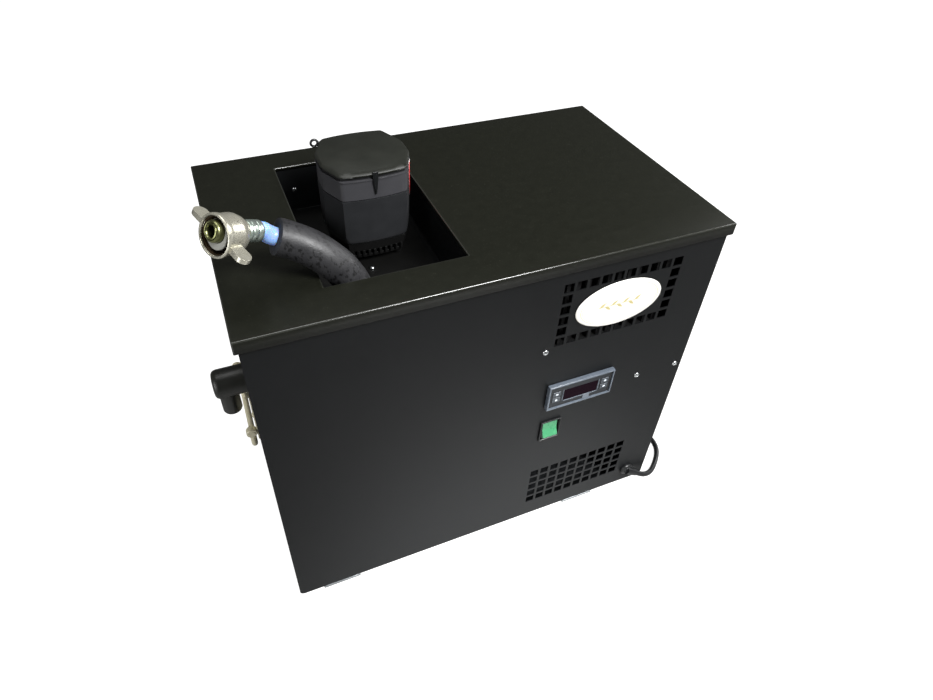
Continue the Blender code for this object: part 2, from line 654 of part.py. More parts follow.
def make_agitator():
    """Motor housing on the bath cover, with a shaft down to the impeller."""
    middle = place(*MOTOR_CENTRE, 0)
    base = add_part("agitator_base", housing_mesh(
        "base", MOTOR_BASE, MOTOR_BASE + BASE_HEIGHT, 0.88, 0.92), "black_plastic", middle)
    foot = rod_mesh("feet", 5 * MM, MOTOR_FEET + 2 * MM, 12)
    for index, (side_x, side_y) in enumerate(((1, 1), (-1, 1), (-1, -1), (1, -1))):
        at = middle + Vector((side_x * MOTOR_FACE_X * 0.38, side_y * MOTOR_DEPTH * 0.3,
                              MOTOR_BASE - MOTOR_FEET))
        cut(base, add_cutter(f"foot_{index}", foot, at), "UNION")
    hole(base, "base_bore", middle + Vector((0, 0, MOTOR_BASE)), SHAFT_RADIUS + 1 * MM,
         4 * BASE_HEIGHT)
    body = add_part("agitator_body", housing_mesh(
        "body", BODY_BOTTOM, BODY_BOTTOM + BODY_HEIGHT, 0.97, 1.0, open_top=True), "black_plastic", middle)
    solidify(body, MOTOR_WALL)
    hole(body, "body_bore", middle + Vector((0, 0, BODY_BOTTOM)), SHAFT_RADIUS + 1 * MM, 4 * MOTOR_WALL)
    band = add_part("agitator_band", housing_mesh(
        "band", BAND_BOTTOM, BAND_BOTTOM + BAND_HEIGHT, 1.0, 0.99, open_top=True, open_bottom=True),
        "grey_plastic", middle)
    solidify(band, MOTOR_WALL)
    cap = add_part("agitator_cap", housing_mesh(
        "cap", CAP_BOTTOM, CAP_TOP, 1.01, 0.93), "black_plastic", middle)
    bevel(cap, 0.8 * MM, 2)

    front = middle - Vector((0, MOTOR_DEPTH / 2 + 1.2 * MM, 0))
    drop = 22 * MM
    clip_outline = [(2.4 * MM, 0), (2.4 * MM, -6 * MM), (0.7 * MM, -drop), (-0.7 * MM, -drop),
                    (-2.4 * MM, -6 * MM), (-2.4 * MM, 0)]
    clip = add_part("cap_clip", outline_mesh("clip", clip_outline, 1.6 * MM), "black_plastic",
                    front + Vector((0, -0.4 * MM, CAP_TOP - 1.5 * MM)))
    clip.rotation_euler = (math.radians(90), 0, 0)
    eye = middle + Vector((-MOTOR_FACE_X / 2 - 8 * MM, MOTOR_DEPTH / 2 - 5 * MM, CAP_BOTTOM + 3 * MM))
    turned("cap_eyelet", ring_profile(1.8 * MM, 4.4 * MM, -1.5 * MM, 1.5 * MM), "black_plastic", eye, 16,
           Matrix.Rotation(math.radians(90), 3, "X"))

    stator_low = BODY_BOTTOM + MOTOR_WALL + GAP
    turned("agitator_stator", ring_profile(ROTOR_RADIUS + 1 * MM, STATOR_RADIUS, stator_low,
                                           stator_low + STATOR_HEIGHT), "copper", middle)
    rotor_top, rotor_low = stator_low + STATOR_HEIGHT + 2 * MM, stator_low + 2 * MM
    turned("agitator_rotor", [
        (0, rotor_top + 14 * MM), (SHAFT_RADIUS, rotor_top + 14 * MM), (SHAFT_RADIUS, rotor_top),
        (ROTOR_RADIUS, rotor_top), (ROTOR_RADIUS, rotor_low), (SHAFT_RADIUS, rotor_low),
        (SHAFT_RADIUS, IMPELLER_HEIGHT), (0, IMPELLER_HEIGHT)], "steel", middle, 20)
    hub = rod_mesh("impeller_hub", SHAFT_RADIUS + 5 * MM, 16 * MM, 16)
    impeller = add_part("agitator_impeller", hub, "white_plastic",
                        middle + Vector((0, 0, IMPELLER_HEIGHT)))
    blades(impeller, "paddle", 3, IMPELLER_RADIUS, 14 * MM, 8 * MM, 35)
    hole(impeller, "hub_bore", middle + Vector((0, 0, IMPELLER_HEIGHT)), SHAFT_RADIUS + GAP, 60 * MM,
         sides=20)


def blades(hub, name, count, radius, chord, height, pitch, axis="Z"):
    """Joins pitched flat blades to a hub whose axis is the object's Z or Y."""
    for index in range(count):
        blade = box_mesh(name, (0, -chord / 2, -1 * MM), (radius, chord / 2, 1 * MM))
        turn = Matrix.Rotation(2 * math.pi * index / count, 4, "Z") @ Matrix.Translation((0, 0, height))
        turn = turn @ Matrix.Rotation(math.radians(pitch), 4, "X")
        if axis == "Y":
            turn = Matrix.Rotation(math.radians(-90), 4, "X") @ turn
        blade.transform(turn)
        cut(hub, add_cutter(f"{name}_{index}", blade, hub.location), "UNION")


def route(points, corner):
    """World points of a route that starts its measures at a corner."""
    return [place(*(start + value * MM for start, value in zip(corner, point))) for point in points]


def hose_at(height):
    """The point on the hose's route that is nearest to a height."""
    return min(smooth_route(route(HOSE_ROUTE, HOSE_CORNER), 2 * MM),
               key=lambda point: abs(point.z - height))


def make_hose():
    """Grommet, foam-insulated hose, its inner tube, the tail, the washer and the wing nut."""
    at_cover = hose_at(COVER_TOP)
    turned("hose_grommet", [
        (HOSE_RADIUS + 1.2 * MM, 2.5 * MM), (GROMMET_FLANGE, 2.5 * MM), (GROMMET_FLANGE, GAP),
        (GROMMET_BORE - GAP, GAP), (GROMMET_BORE - GAP, -COVER_THICKNESS),
        (HOSE_RADIUS + 1.2 * MM, -COVER_THICKNESS), (HOSE_RADIUS + 1.2 * MM, 2.5 * MM)],
        "rubber", at_cover, 32)
    tube("hose_sleeve", smooth_route(route(HOSE_ROUTE, HOSE_CORNER), 12 * MM), HOSE_RADIUS,
         "rubber_foam", 4)
    inner = route(INNER_ROUTE, HOSE_CORNER)
    tube("inner_hose", smooth_route(inner, 3 * MM), INNER_HOSE_RADIUS, "clear_hose", 3)

    tail_turn = Vector((0, 0, 1)).rotation_difference(TAIL_AXIS).to_matrix()
    tail_tip = inner[-1] + TAIL_AXIS * (TAIL_LENGTH + GAP)
    nipple, flange = -9 * MM, -15 * MM
    turned("hose_tail", [
        (TAIL_BORE, -1.5 * MM), (TAIL_RADIUS - 1.5 * MM, -1.5 * MM), (TAIL_RADIUS, -3 * MM),
        (TAIL_RADIUS, nipple), (FLANGE_RADIUS - 1.5 * MM, nipple - 2.5 * MM),
        (FLANGE_RADIUS - 1.5 * MM, flange), (TAIL_RADIUS, flange), (TAIL_RADIUS, -TAIL_LENGTH),
        (TAIL_BORE, -TAIL_LENGTH), (TAIL_BORE, -1.5 * MM)], "nickel", tail_tip, 24, tail_turn)
    turned("nut_washer", ring_profile(TAIL_RADIUS + GAP, FLANGE_RADIUS, nipple + GAP, nipple + 2 * MM),
           "white_plastic", tail_tip, 24, tail_turn)
    turn = Vector((0, 0, 1)).rotation_difference(NUT_AXIS).to_matrix()
    upwards = (Vector((0, 0, 1)) - NUT_AXIS * NUT_AXIS.z).normalized()
    nut_place = tail_tip - NUT_AXIS * NUT_SLIDE - upwards * NUT_DROP
    back = -NUT_LENGTH - NUT_CONE
    back_bore = TAIL_RADIUS + NUT_DROP
    nut = turned("wing_nut", [
        (NUT_BORE, 0), (NUT_RADIUS, 0), (NUT_RADIUS, -NUT_LENGTH), (back_bore + 1.8 * MM, back),
        (back_bore, back), (back_bore, -NUT_LENGTH), (NUT_BORE, -NUT_LENGTH), (NUT_BORE, 0)],
        "nickel", nut_place, 32, turn)
    wing_turn = turn.to_4x4() @ Matrix.Rotation(WING_ANGLE, 4, "Z")
    for side in (0, 1):
        blade = wing_mesh()
        blade.transform(wing_turn @ Matrix.Rotation(math.pi * side, 4, "Z"))
        cut(nut, add_cutter(f"wing_{side}", blade, nut_place), "UNION")


def wing_mesh():
    """One wing of the nut along +X, with a round tip."""
    bm = bmesh.new()
    bmesh.ops.create_cube(bm, size=1.0)
    start = NUT_BORE + 1 * MM
    bmesh.ops.scale(bm, vec=(WING_REACH - start, WING_THICKNESS, WING_WIDTH), verts=bm.verts)
    bmesh.ops.translate(bm, vec=((WING_REACH + start) / 2, 0, -WING_SETBACK), verts=bm.verts)
    tip = [e for e in bm.edges if all(v.co.x > WING_REACH - GAP for v in e.verts)
           and abs(e.verts[0].co.y - e.verts[1].co.y) > GAP]
    bmesh.ops.bevel(bm, geom=tip, offset=WING_WIDTH * 0.45, affect="EDGES", segments=5, profile=0.5,
                    material=-1)
    return mesh_from(bm, "wing")


def make_controller():
    """Temperature controller with a display and four keys."""
    face = FRONT - CONTROLLER_PROUD
    half_x, half_z = CONTROLLER_WIDTH / 2, CONTROLLER_HEIGHT / 2
    case = add_part("controller_case", box_mesh(
        "case", place(CONTROLLER_X - half_x, face, CONTROLLER_Z - half_z),
        place(CONTROLLER_X + half_x, FRONT - GAP, CONTROLLER_Z + half_z)), "grey_plastic")
    body_x, body_z = half_x - CONTROLLER_RIM - GAP, half_z - CONTROLLER_RIM - GAP
    cut(case, add_cutter("case_body", box_mesh(
        "case_body", place(CONTROLLER_X - body_x, FRONT - 1 * MM, CONTROLLER_Z - body_z),
        place(CONTROLLER_X + body_x, FRONT + CONTROLLER_DEPTH, CONTROLLER_Z + body_z))), "UNION")
    sunk = face + 1.2 * MM
    pocket = sunk + 2.5 * MM
    corners = [(place(CONTROLLER_X - half_x + CONTROLLER_RIM, face - 1 * MM,
                      CONTROLLER_Z - half_z + CONTROLLER_RIM),
                place(CONTROLLER_X + half_x - CONTROLLER_RIM, sunk,
                      CONTROLLER_Z + half_z - CONTROLLER_RIM)),
               (place(CONTROLLER_X - DISPLAY_WIDTH / 2 - GAP, face - 1 * MM,
                      CONTROLLER_Z - DISPLAY_HEIGHT / 2 - GAP),
                place(CONTROLLER_X + DISPLAY_WIDTH / 2 + GAP, pocket,
                      CONTROLLER_Z + DISPLAY_HEIGHT / 2 + GAP))]
    keys = []
    for side in (-1, 1):
        for level in (1, -1):
            keys.append((CONTROLLER_X + side * BUTTON_SPREAD, CONTROLLER_Z + level * BUTTON_RISE))
    for x, z in keys:
        corners.append((place(x - BUTTON_WIDTH / 2 - GAP, face - 1 * MM, z - BUTTON_HEIGHT / 2 - GAP),
                        place(x + BUTTON_WIDTH / 2 + GAP, pocket, z + BUTTON_HEIGHT / 2 + GAP)))
    for index, (low, high) in enumerate(corners):
        cut(case, add_cutter(f"case_cut_{index}", box_mesh("case_cut", low, high)))
    screen = add_part("controller_display", box_mesh(
        "screen", place(CONTROLLER_X - DISPLAY_WIDTH / 2, sunk + 0.6 * MM,
                        CONTROLLER_Z - DISPLAY_HEIGHT / 2),
        place(CONTROLLER_X + DISPLAY_WIDTH / 2, pocket - GAP, CONTROLLER_Z + DISPLAY_HEIGHT / 2)),
        "screen")
    bevel(screen, 0.2 * MM, 1)
    for name, (x, z) in zip(("set", "defrost", "up", "down"), keys):
        low = Vector((-BUTTON_WIDTH / 2, sunk - 0.7 * MM - FRONT, -BUTTON_HEIGHT / 2))
        high = Vector((BUTTON_WIDTH / 2, pocket - BUTTON_TRAVEL - GAP - FRONT, BUTTON_HEIGHT / 2))
        key = add_part(f"key_{name}", box_mesh("key", low, high), "button_grey", place(x, FRONT, z))
        bevel(key, 0.6 * MM, 1)


def make_rocker():
    """Illuminated mains switch, pressed in at its top."""
    face = FRONT - ROCKER_PROUD
    half_x, half_z = ROCKER_WIDTH / 2, ROCKER_HEIGHT / 2
    frame = add_part("rocker_frame", box_mesh(
        "frame", place(ROCKER_X - half_x, face, ROCKER_Z - half_z),
        place(ROCKER_X + half_x, FRONT - GAP, ROCKER_Z + half_z)), "black_plastic")
    neck_x, neck_z = half_x - ROCKER_RIM / 2 - GAP, half_z - ROCKER_RIM / 2 - GAP
    depth = 26 * MM
    cut(frame, add_cutter("frame_body", box_mesh(
        "frame_body", place(ROCKER_X - neck_x, FRONT - 1 * MM, ROCKER_Z - neck_z),
        place(ROCKER_X + neck_x, FRONT + depth, ROCKER_Z + neck_z))), "UNION")
    well_x, well_z = half_x - ROCKER_RIM, half_z - ROCKER_RIM
    well = depth * 0.5
    cut(frame, add_cutter("frame_well", box_mesh(
        "frame_well", place(ROCKER_X - well_x, FRONT - depth, ROCKER_Z - well_z),
        place(ROCKER_X + well_x, FRONT + well, ROCKER_Z + well_z))))

    reach = well_z - 0.8 * MM
    outline = [(2.2 * MM, -1.0 * MM), (reach, -ROCKER_CREST), (reach, 4 * MM), (4 * MM, 7 * MM),
               (-4 * MM, 7 * MM), (-reach, 4 * MM), (-reach, -ROCKER_CREST), (-2.2 * MM, -1.0 * MM)]
    paddle = add_part("rocker_paddle", outline_mesh("paddle", outline, 2 * (well_x - GAP)),
                      "green_lens", place(ROCKER_X, FRONT + 0.5 * MM, ROCKER_Z))
    lie = Matrix(((0, 0, 1), (0, 1, 0), (1, 0, 0))) @ Matrix.Scale(-1, 3, (0, 0, 1))
    paddle.rotation_euler = (Matrix.Rotation(-ROCKER_TILT, 3, "X") @ lie).to_euler()


def make_front_trim():
    """Badge and panel screws."""
    bm = bmesh.new()
    bmesh.ops.create_cone(bm, cap_ends=True, segments=48, radius1=0.5, radius2=0.5,
                          depth=BADGE_THICKNESS)
    bmesh.ops.scale(bm, vec=(BADGE_WIDTH, BADGE_HEIGHT, 1), verts=bm.verts)
    bmesh.ops.rotate(bm, verts=bm.verts, matrix=Matrix.Rotation(math.radians(90), 3, "X"))
    badge = add_part("badge", mesh_from(bm, "badge"), "badge_white",
                     place(GRILLE_X, FRONT - GAP - BADGE_THICKNESS / 2, UPPER_GRILLE_Z))
    bevel(badge, 0.5 * MM, 2)
    forwards = Matrix.Rotation(math.radians(90), 3, "X")
    for name, (x, z) in PANEL_SCREWS.items():
        turned(name, [(0, 2.2 * MM), (SCREW_HEAD * 0.55, 2.0 * MM), (SCREW_HEAD * 0.9, 1.3 * MM),
                      (SCREW_HEAD, GAP), (SCREW_SHANK, GAP), (SCREW_SHANK, -7 * MM), (0, -7 * MM)],
               "steel", place(x, FRONT, z), 16, forwards)


def make_refrigeration():
    """Compressor, condenser, fan, drier and the lines between them."""
    floor = BASE_FLOOR + SHEET + GAP
    mount = add_part("compressor_mount", tray_mesh(
        "mount", place(COMPRESSOR_X - 72 * MM, COMPRESSOR_Y - 50 * MM, floor),
        place(COMPRESSOR_X + 72 * MM, COMPRESSOR_Y + 50 * MM, floor + MOUNT_HEIGHT), [(0, 0, -1)]),
        "galvanised")
    solidify(mount, 2 * MM)
    foot = floor + MOUNT_HEIGHT + GAP
    share = COMPRESSOR_HEIGHT / 10
    turned("compressor", [
        (0, foot + COMPRESSOR_HEIGHT), (COMPRESSOR_RADIUS * 0.55, foot + COMPRESSOR_HEIGHT - share * 0.4),
        (COMPRESSOR_RADIUS * 0.85, foot + COMPRESSOR_HEIGHT - share * 1.6),
        (COMPRESSOR_RADIUS * 0.97, foot + share * 6), (COMPRESSOR_RADIUS, foot + share * 5),
        (COMPRESSOR_RADIUS * 0.95, foot + share * 2), (COMPRESSOR_RADIUS * 0.7, foot + share * 0.4),
        (COMPRESSOR_RADIUS * 0.5, foot), (0, foot)], "black_paint",
        place(COMPRESSOR_X, COMPRESSOR_Y, 0), 24)

    low = place(GRILLE_X - CONDENSER_WIDTH / 2, CONDENSER_BACK - CONDENSER_DEPTH,
                UPPER_GRILLE_Z - CONDENSER_HEIGHT / 2)
    high = place(GRILLE_X + CONDENSER_WIDTH / 2, CONDENSER_BACK, UPPER_GRILLE_Z + CONDENSER_HEIGHT / 2)
    condenser = add_part("condenser", box_mesh("condenser", low, high), "aluminium")
    count = int((CONDENSER_WIDTH - FIN_SLOT) / FIN_PITCH)
    slots = []
    for index in range(count):
        x = (low.x + high.x) / 2 + (index - (count - 1) / 2) * FIN_PITCH
        slots.append(((x - FIN_SLOT / 2, low.y - 1 * MM, low.z + 8 * MM),
                      (x + FIN_SLOT / 2, high.y - 8 * MM, high.z - 8 * MM)))
    cut(condenser, add_cutter("fin_slots", boxes_mesh("fin_slots", slots)))

    fan_y = CONDENSER_BACK + GAP
    shroud = add_part("fan_shroud", box_mesh(
        "shroud", place(GRILLE_X - CONDENSER_WIDTH / 2, fan_y, UPPER_GRILLE_Z - CONDENSER_HEIGHT / 2),
        place(GRILLE_X + CONDENSER_WIDTH / 2, fan_y + FAN_DEPTH, UPPER_GRILLE_Z + CONDENSER_HEIGHT / 2)),
        "black_plastic")
    hole(shroud, "fan_opening", place(GRILLE_X, fan_y, UPPER_GRILLE_Z), FAN_RADIUS + 3 * MM,
         4 * FAN_DEPTH, "Y", 32)
    backwards = Matrix.Rotation(math.radians(-90), 4, "X")
    fan = add_part("fan_blades", rod_mesh("fan_hub", 14 * MM, FAN_DEPTH - 4 * MM, 16, backwards),
                   "grey_plastic", place(GRILLE_X, fan_y + 2 * MM, UPPER_GRILLE_Z))
    blades(fan, "fan_blade", 5, FAN_RADIUS, 16 * MM, FAN_DEPTH / 2 - 2 * MM, 32, "Y")
    add_part("fan_motor", rod_mesh("fan_motor", 19 * MM, 26 * MM, 20, backwards), "black_paint",
             place(GRILLE_X, fan_y + FAN_DEPTH + 3 * MM, UPPER_GRILLE_Z))

    drier_x, drier_y = MACHINE_LEFT + DRIER_RADIUS + 4 * MM, BATH_BACK - DRIER_RADIUS - 14 * MM
    drier_low = floor + 120 * MM
    turned("filter_drier", [
        (0, drier_low + DRIER_LENGTH), (TUBE_RADIUS, drier_low + DRIER_LENGTH),
        (DRIER_RADIUS, drier_low + DRIER_LENGTH - 9 * MM), (DRIER_RADIUS, drier_low + 9 * MM),
        (TUBE_RADIUS, drier_low), (0, drier_low)], "copper", place(drier_x, drier_y, 0), 20)
    riser = coil_point(EVAPORATOR_RADIUS, RISER_ANGLE, RISER_TOP + GAP)
    top = RISER_TOP + 12 * MM
    drier_top = place(drier_x, drier_y, drier_low + DRIER_LENGTH + GAP)
    tube("liquid_line", smooth_route([
        drier_top, drier_top + Vector((0, 0, 40 * MM)), drier_top + Vector((0, -4 * MM, 90 * MM)),
        Vector((drier_top.x - 6 * MM, drier_top.y - 14 * MM, top)),
        Vector((riser.x + 10 * MM, riser.y + 8 * MM, top)), riser + Vector((0, 0, 4 * MM)), riser],
        14 * MM), TUBE_RADIUS * 0.6, "copper")
    lead = coil_point(EVAPORATOR_LEAD_RADIUS, LEAD_ANGLE, RISER_TOP + GAP)
    shell_top = place(COMPRESSOR_X, COMPRESSOR_Y, foot + COMPRESSOR_HEIGHT + GAP)
    tube("suction_line", smooth_route([
        lead, lead + Vector((0, 0, 4 * MM)), lead + Vector((10 * MM, 0, 12 * MM)),
        Vector((shell_top.x - 40 * MM, lead.y + 10 * MM, top - 6 * MM)),
        shell_top + Vector((0, -6 * MM, 90 * MM)), shell_top + Vector((0, 0, 30 * MM)), shell_top],
        16 * MM), TUBE_RADIUS, "copper")


def make_side_fittings():
    """Overflow elbow on the left, and a folding carrying handle on each side."""
    length = ELBOW_REACH - GAP
    elbow = turned("overflow_elbow", [
        (0, length), (ELBOW_RADIUS - 3.5 * MM, length), (ELBOW_RADIUS - 1 * MM, length - 1 * MM),
        (ELBOW_RADIUS, length - 3.5 * MM), (ELBOW_RADIUS, 0), (ELBOW_NECK, 0), (ELBOW_NECK, -8 * MM),
        (0, -8 * MM)], "black_plastic", place(LEFT - GAP, ELBOW_Y, ELBOW_Z), 32,
        Matrix.Rotation(math.radians(-90), 3, "Y"))
    spigot_x = LEFT - GAP - length * SPIGOT_SHARE
    drop = ELBOW_RADIUS + SPIGOT_LENGTH
    spigot = rod_mesh("spigot", SPIGOT_RADIUS, drop, 24)
    cut(elbow, add_cutter("spigot", spigot, place(spigot_x, ELBOW_Y, ELBOW_Z - drop)), "UNION")
    hole(elbow, "spigot_bore", place(spigot_x, ELBOW_Y, ELBOW_Z - drop), SPIGOT_BORE,
         2 * SPIGOT_LENGTH)
    for name, side, wall in (("left", -1, LEFT), ("right", 1, RIGHT)):
        make_handle(name, side, wall)


def make_handle(name, side, wall):
    """Plate with two lugs, and a bail that hangs from them."""
    inner = wall + side * GAP
    outer = inner + side * HANDLE_PLATE_THICKNESS
    low_x, high_x = min(inner, outer), max(inner, outer)
    plate = add_part(f"handle_plate_{name}", box_mesh(
        "plate", place(low_x, HANDLE_Y - HANDLE_PLATE_LENGTH / 2, HANDLE_Z - HANDLE_PLATE_HEIGHT / 2),
        place(high_x, HANDLE_Y + HANDLE_PLATE_LENGTH / 2, HANDLE_Z + HANDLE_PLATE_HEIGHT / 2)), "nickel")
    pivot_x = outer + side * (LUG_RADIUS - 0.5 * MM)
    pivot_z = HANDLE_Z - HANDLE_PIVOT_BELOW
    for index, end in enumerate((-1, 1)):
        y = HANDLE_Y + end * (HANDLE_SPAN / 2 + HANDLE_WIRE + GAP + LUG_LENGTH / 2)
        lug = rod_mesh("lug", LUG_RADIUS, LUG_LENGTH, 16,
                       Matrix.Rotation(math.radians(90), 4, "X") @ Matrix.Translation((0, 0, -LUG_LENGTH / 2)))
        cut(plate, add_cutter(f"lug_{name}_{index}", lug, place(pivot_x, y, pivot_z)), "UNION")
        hole(plate, f"lug_bore_{name}_{index}", place(pivot_x, y, pivot_z), HANDLE_PIN + GAP / 3,
             LUG_LENGTH * 2, "Y", 16)
    half, turn_in = HANDLE_SPAN / 2, 5 * MM
    pin = half + HANDLE_WIRE + GAP + LUG_LENGTH - 1 * MM
    points = [Vector((0, -half + 0.2 * MM, 0)), Vector((0, -half, -HANDLE_DROP + turn_in)),
              Vector((0, -half + turn_in * 0.3, -HANDLE_DROP + turn_in * 0.3)),
              Vector((0, -half + turn_in, -HANDLE_DROP))]
    points += [Vector((p.x, -p.y, p.z)) for p in reversed(points)]
    bail = tube_mesh(f"bail_{name}", points, HANDLE_WIRE)
    part = add_part(f"handle_bail_{name}", bail, "nickel", place(pivot_x, HANDLE_Y, pivot_z))
    rod = rod_mesh("bail_pin", HANDLE_PIN, 2 * pin, 16,
                   Matrix.Rotation(math.radians(90), 4, "X") @ Matrix.Translation((0, 0, -pin)))
    cut(part, add_cutter(f"bail_pin_{name}", rod, part.location), "UNION")
    gap_low = (-2 * HANDLE_PIN, -half + HANDLE_WIRE, -HANDLE_PIN * 2)
    gap_high = (2 * HANDLE_PIN, half - HANDLE_WIRE, HANDLE_PIN * 2)
    cut(part, add_cutter(f"bail_gap_{name}", box_mesh("bail_gap", gap_low, gap_high), part.location))


def tube_mesh(name, points, radius):
    """A tube along points as one welded mesh."""
    guide = tube(name, points, radius, "nickel", 2)
    bpy.context.view_layer.update()
    solid = bpy.data.meshes.new_from_object(guide.evaluated_get(bpy.context.evaluated_depsgraph_get()))
    bpy.data.objects.remove(guide, do_unlink=True)
    bm = bmesh.new()
    bm.from_mesh(solid)
    bmesh.ops.remove_doubles(bm, verts=bm.verts, dist=0.00001)
    bm.to_mesh(solid)
    bm.free()
    solid.materials.clear()
    return solid


def make_mains_lead():
    """Gland in the front panel, the lead along the floor, its coil and its plug."""
    lead = smooth_route(route(CORD_ROUTE, LEAD_CORNER), 14 * MM)
    gland = turned("cord_gland", [
        (0, GLAND_HEAD), (GLAND_RADIUS - 1.5 * MM, GLAND_HEAD), (GLAND_RADIUS, GLAND_HEAD - 1.5 * MM),
        (GLAND_RADIUS, GAP), (GLAND_NECK, GAP), (GLAND_NECK, -9 * MM), (0, -9 * MM)], "rubber",
        place(GLAND_X, FRONT, GLAND_Z), 24, Matrix.Rotation(math.radians(90), 3, "X"))
    root = place(GLAND_X, FRONT - GLAND_HEAD - 1 * MM, GLAND_Z)
    boot = lead[0] - (lead[1] - lead[0]).normalized() * GAP
    run = boot - root
    bm = bmesh.new()
    bmesh.ops.create_cone(bm, cap_ends=True, segments=20, radius1=CORD_RADIUS + 1.4 * MM,
                          radius2=CORD_RADIUS + 0.6 * MM, depth=run.length)
    bmesh.ops.translate(bm, vec=(0, 0, run.length / 2), verts=bm.verts)
    aim = Vector((0, 0, 1)).rotation_difference(run).to_matrix()
    bmesh.ops.rotate(bm, verts=bm.verts, matrix=aim)
    cut(gland, add_cutter("gland_boot", mesh_from(bm, "boot"), root), "UNION")
    tube("mains_cord", lead, CORD_RADIUS, "rubber")
    inner, outer = COIL_RADIUS - COIL_BAND / 2, COIL_RADIUS + COIL_BAND / 2
    turned("mains_cord_coil", ring_profile(inner, outer, GAP, COIL_HEIGHT), "rubber",
           place(COIL_X, COIL_Y, 0), 32)
    plug_place = place(COIL_X - COIL_RADIUS + 2 * MM, COIL_Y + outer + 3 * MM, PLUG_RADIUS + GAP)
    along = Matrix.Rotation(math.radians(-90), 3, "X")
    boot_length = 22 * MM
    plug = turned("mains_plug", [
        (0, boot_length + PLUG_LENGTH), (PLUG_RADIUS, boot_length + PLUG_LENGTH),
        (PLUG_RADIUS, boot_length + 10 * MM), (PLUG_RADIUS * 0.62, boot_length),
        (CORD_RADIUS + 2 * MM, boot_length - 4 * MM), (CORD_RADIUS + 1 * MM, 0), (0, 0)],
        "rubber", plug_place, 24, along)
    for side in (-1, 1):
        pin = rod_mesh("pin", PIN_RADIUS, PIN_LENGTH + 2 * MM, 12, Matrix.Rotation(math.radians(-90), 4, "X"))
        at = plug_place + Vector((side * PIN_SPREAD, boot_length + PLUG_LENGTH - 2 * MM, 0))
        cut(plug, add_cutter(f"pin_{side}", pin, at), "UNION")


clear_scene()
parts = new_collection("beverage_cooler")
cutters = new_collection("cutters")
front_panel, rear_panel, left_panel = make_cabinet()
cut_front(front_panel)
cut_rear(rear_panel)
cut_left(left_panel)
make_recess()
make_bath()
make_agitator()
make_hose()
make_controller()
make_rocker()
make_front_trim()
make_refrigeration()
make_side_fittings()
make_mains_lead()
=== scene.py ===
"""Water-bath beverage cooler: the finished pieces and their finishes, laid over its CAD frame."""
import math

import bmesh
import bpy
from bpy.props import FloatProperty, FloatVectorProperty, PointerProperty, StringProperty
from mathutils import Matrix, Vector


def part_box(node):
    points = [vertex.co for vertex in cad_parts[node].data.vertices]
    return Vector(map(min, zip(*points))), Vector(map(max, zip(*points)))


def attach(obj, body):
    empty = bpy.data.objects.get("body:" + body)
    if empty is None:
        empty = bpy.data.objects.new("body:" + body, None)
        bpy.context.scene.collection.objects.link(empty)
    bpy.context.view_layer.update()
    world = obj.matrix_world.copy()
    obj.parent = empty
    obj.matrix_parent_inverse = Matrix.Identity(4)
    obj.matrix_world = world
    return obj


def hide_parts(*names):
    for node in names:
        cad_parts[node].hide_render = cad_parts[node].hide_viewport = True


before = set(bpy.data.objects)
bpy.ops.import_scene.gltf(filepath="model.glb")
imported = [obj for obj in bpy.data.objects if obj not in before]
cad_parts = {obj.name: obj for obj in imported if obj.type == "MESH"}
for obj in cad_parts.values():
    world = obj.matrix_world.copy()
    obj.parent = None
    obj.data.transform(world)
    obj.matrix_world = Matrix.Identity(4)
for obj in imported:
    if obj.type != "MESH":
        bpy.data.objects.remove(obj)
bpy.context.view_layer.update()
LID_LOW, LID_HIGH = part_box("lid")
COVER_LOW, COVER_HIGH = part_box("bath_cover")
COLLAR_LOW, COLLAR_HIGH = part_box("recess_collar")
MM = 0.001

bl_info = {
    "name": "Beverage cooler",
    "version": (1, 0, 0),
    "blender": (4, 5, 0),
    "location": "View3D > Sidebar > Cooler",
    "description": "Builds the visible pieces of a water-bath beverage cooler",
    "category": "Object",
}

# Routes of the lead and the hose, in metres
CORD_ROUTE = [
    (0.21765, -0.1412, 0.0232), (0.22565, -0.1432, 0.0186), (0.23315, -0.1433, 0.0150),
    (0.24115, -0.1412, 0.0116), (0.24965, -0.1366, 0.0084), (0.25815, -0.1304, 0.0056),
    (0.26615, -0.1236, 0.0040), (0.27315, -0.1164, 0.0034), (0.27875, -0.1080, 0.0034),
    (0.28165, -0.0985, 0.0034), (0.28115, -0.0885, 0.0034), (0.27765, -0.0780, 0.0034),
    (0.27165, -0.0660, 0.0034), (0.26465, -0.0530, 0.0034), (0.25945, -0.0390, 0.0034),
]
COIL_CENTRE = Vector((0.29415, -0.0020, 0.0))
HOSE_ROUTE = [
    (-0.10285, -0.0750, 0.2780), (-0.10285, -0.0750, 0.3060), (-0.10335, -0.0754, 0.3260),
    (-0.10525, -0.0764, 0.3440), (-0.10865, -0.0780, 0.3620), (-0.11445, -0.0795, 0.3804),
    (-0.12285, -0.0803, 0.3976), (-0.13185, -0.0792, 0.4089), (-0.14145, -0.0760, 0.4177),
    (-0.15145, -0.0728, 0.4242), (-0.16285, -0.0706, 0.4304), (-0.16885, -0.0703, 0.4334),
]
INNER_ROUTE = [
    (-0.16985, -0.0702, 0.4339), (-0.17225, -0.07, 0.4352), (-0.17505, -0.0698, 0.4376),
    (-0.17835, -0.0704, 0.4409), (-0.18145, -0.0722, 0.4427),
]
TAIL_LENGTH = 44.0 * MM
TAIL_AXIS = Vector((-0.772, -0.447, 0.452)).normalized()
NUT_SLIDE = 4.5 * MM
NUT_DROP = 4.0 * MM
NUT_AXIS = Vector((-0.777, -0.508, 0.371)).normalized()
NUT_UP = (Vector((0, 0, 1)) - NUT_AXIS * NUT_AXIS.z).normalized()


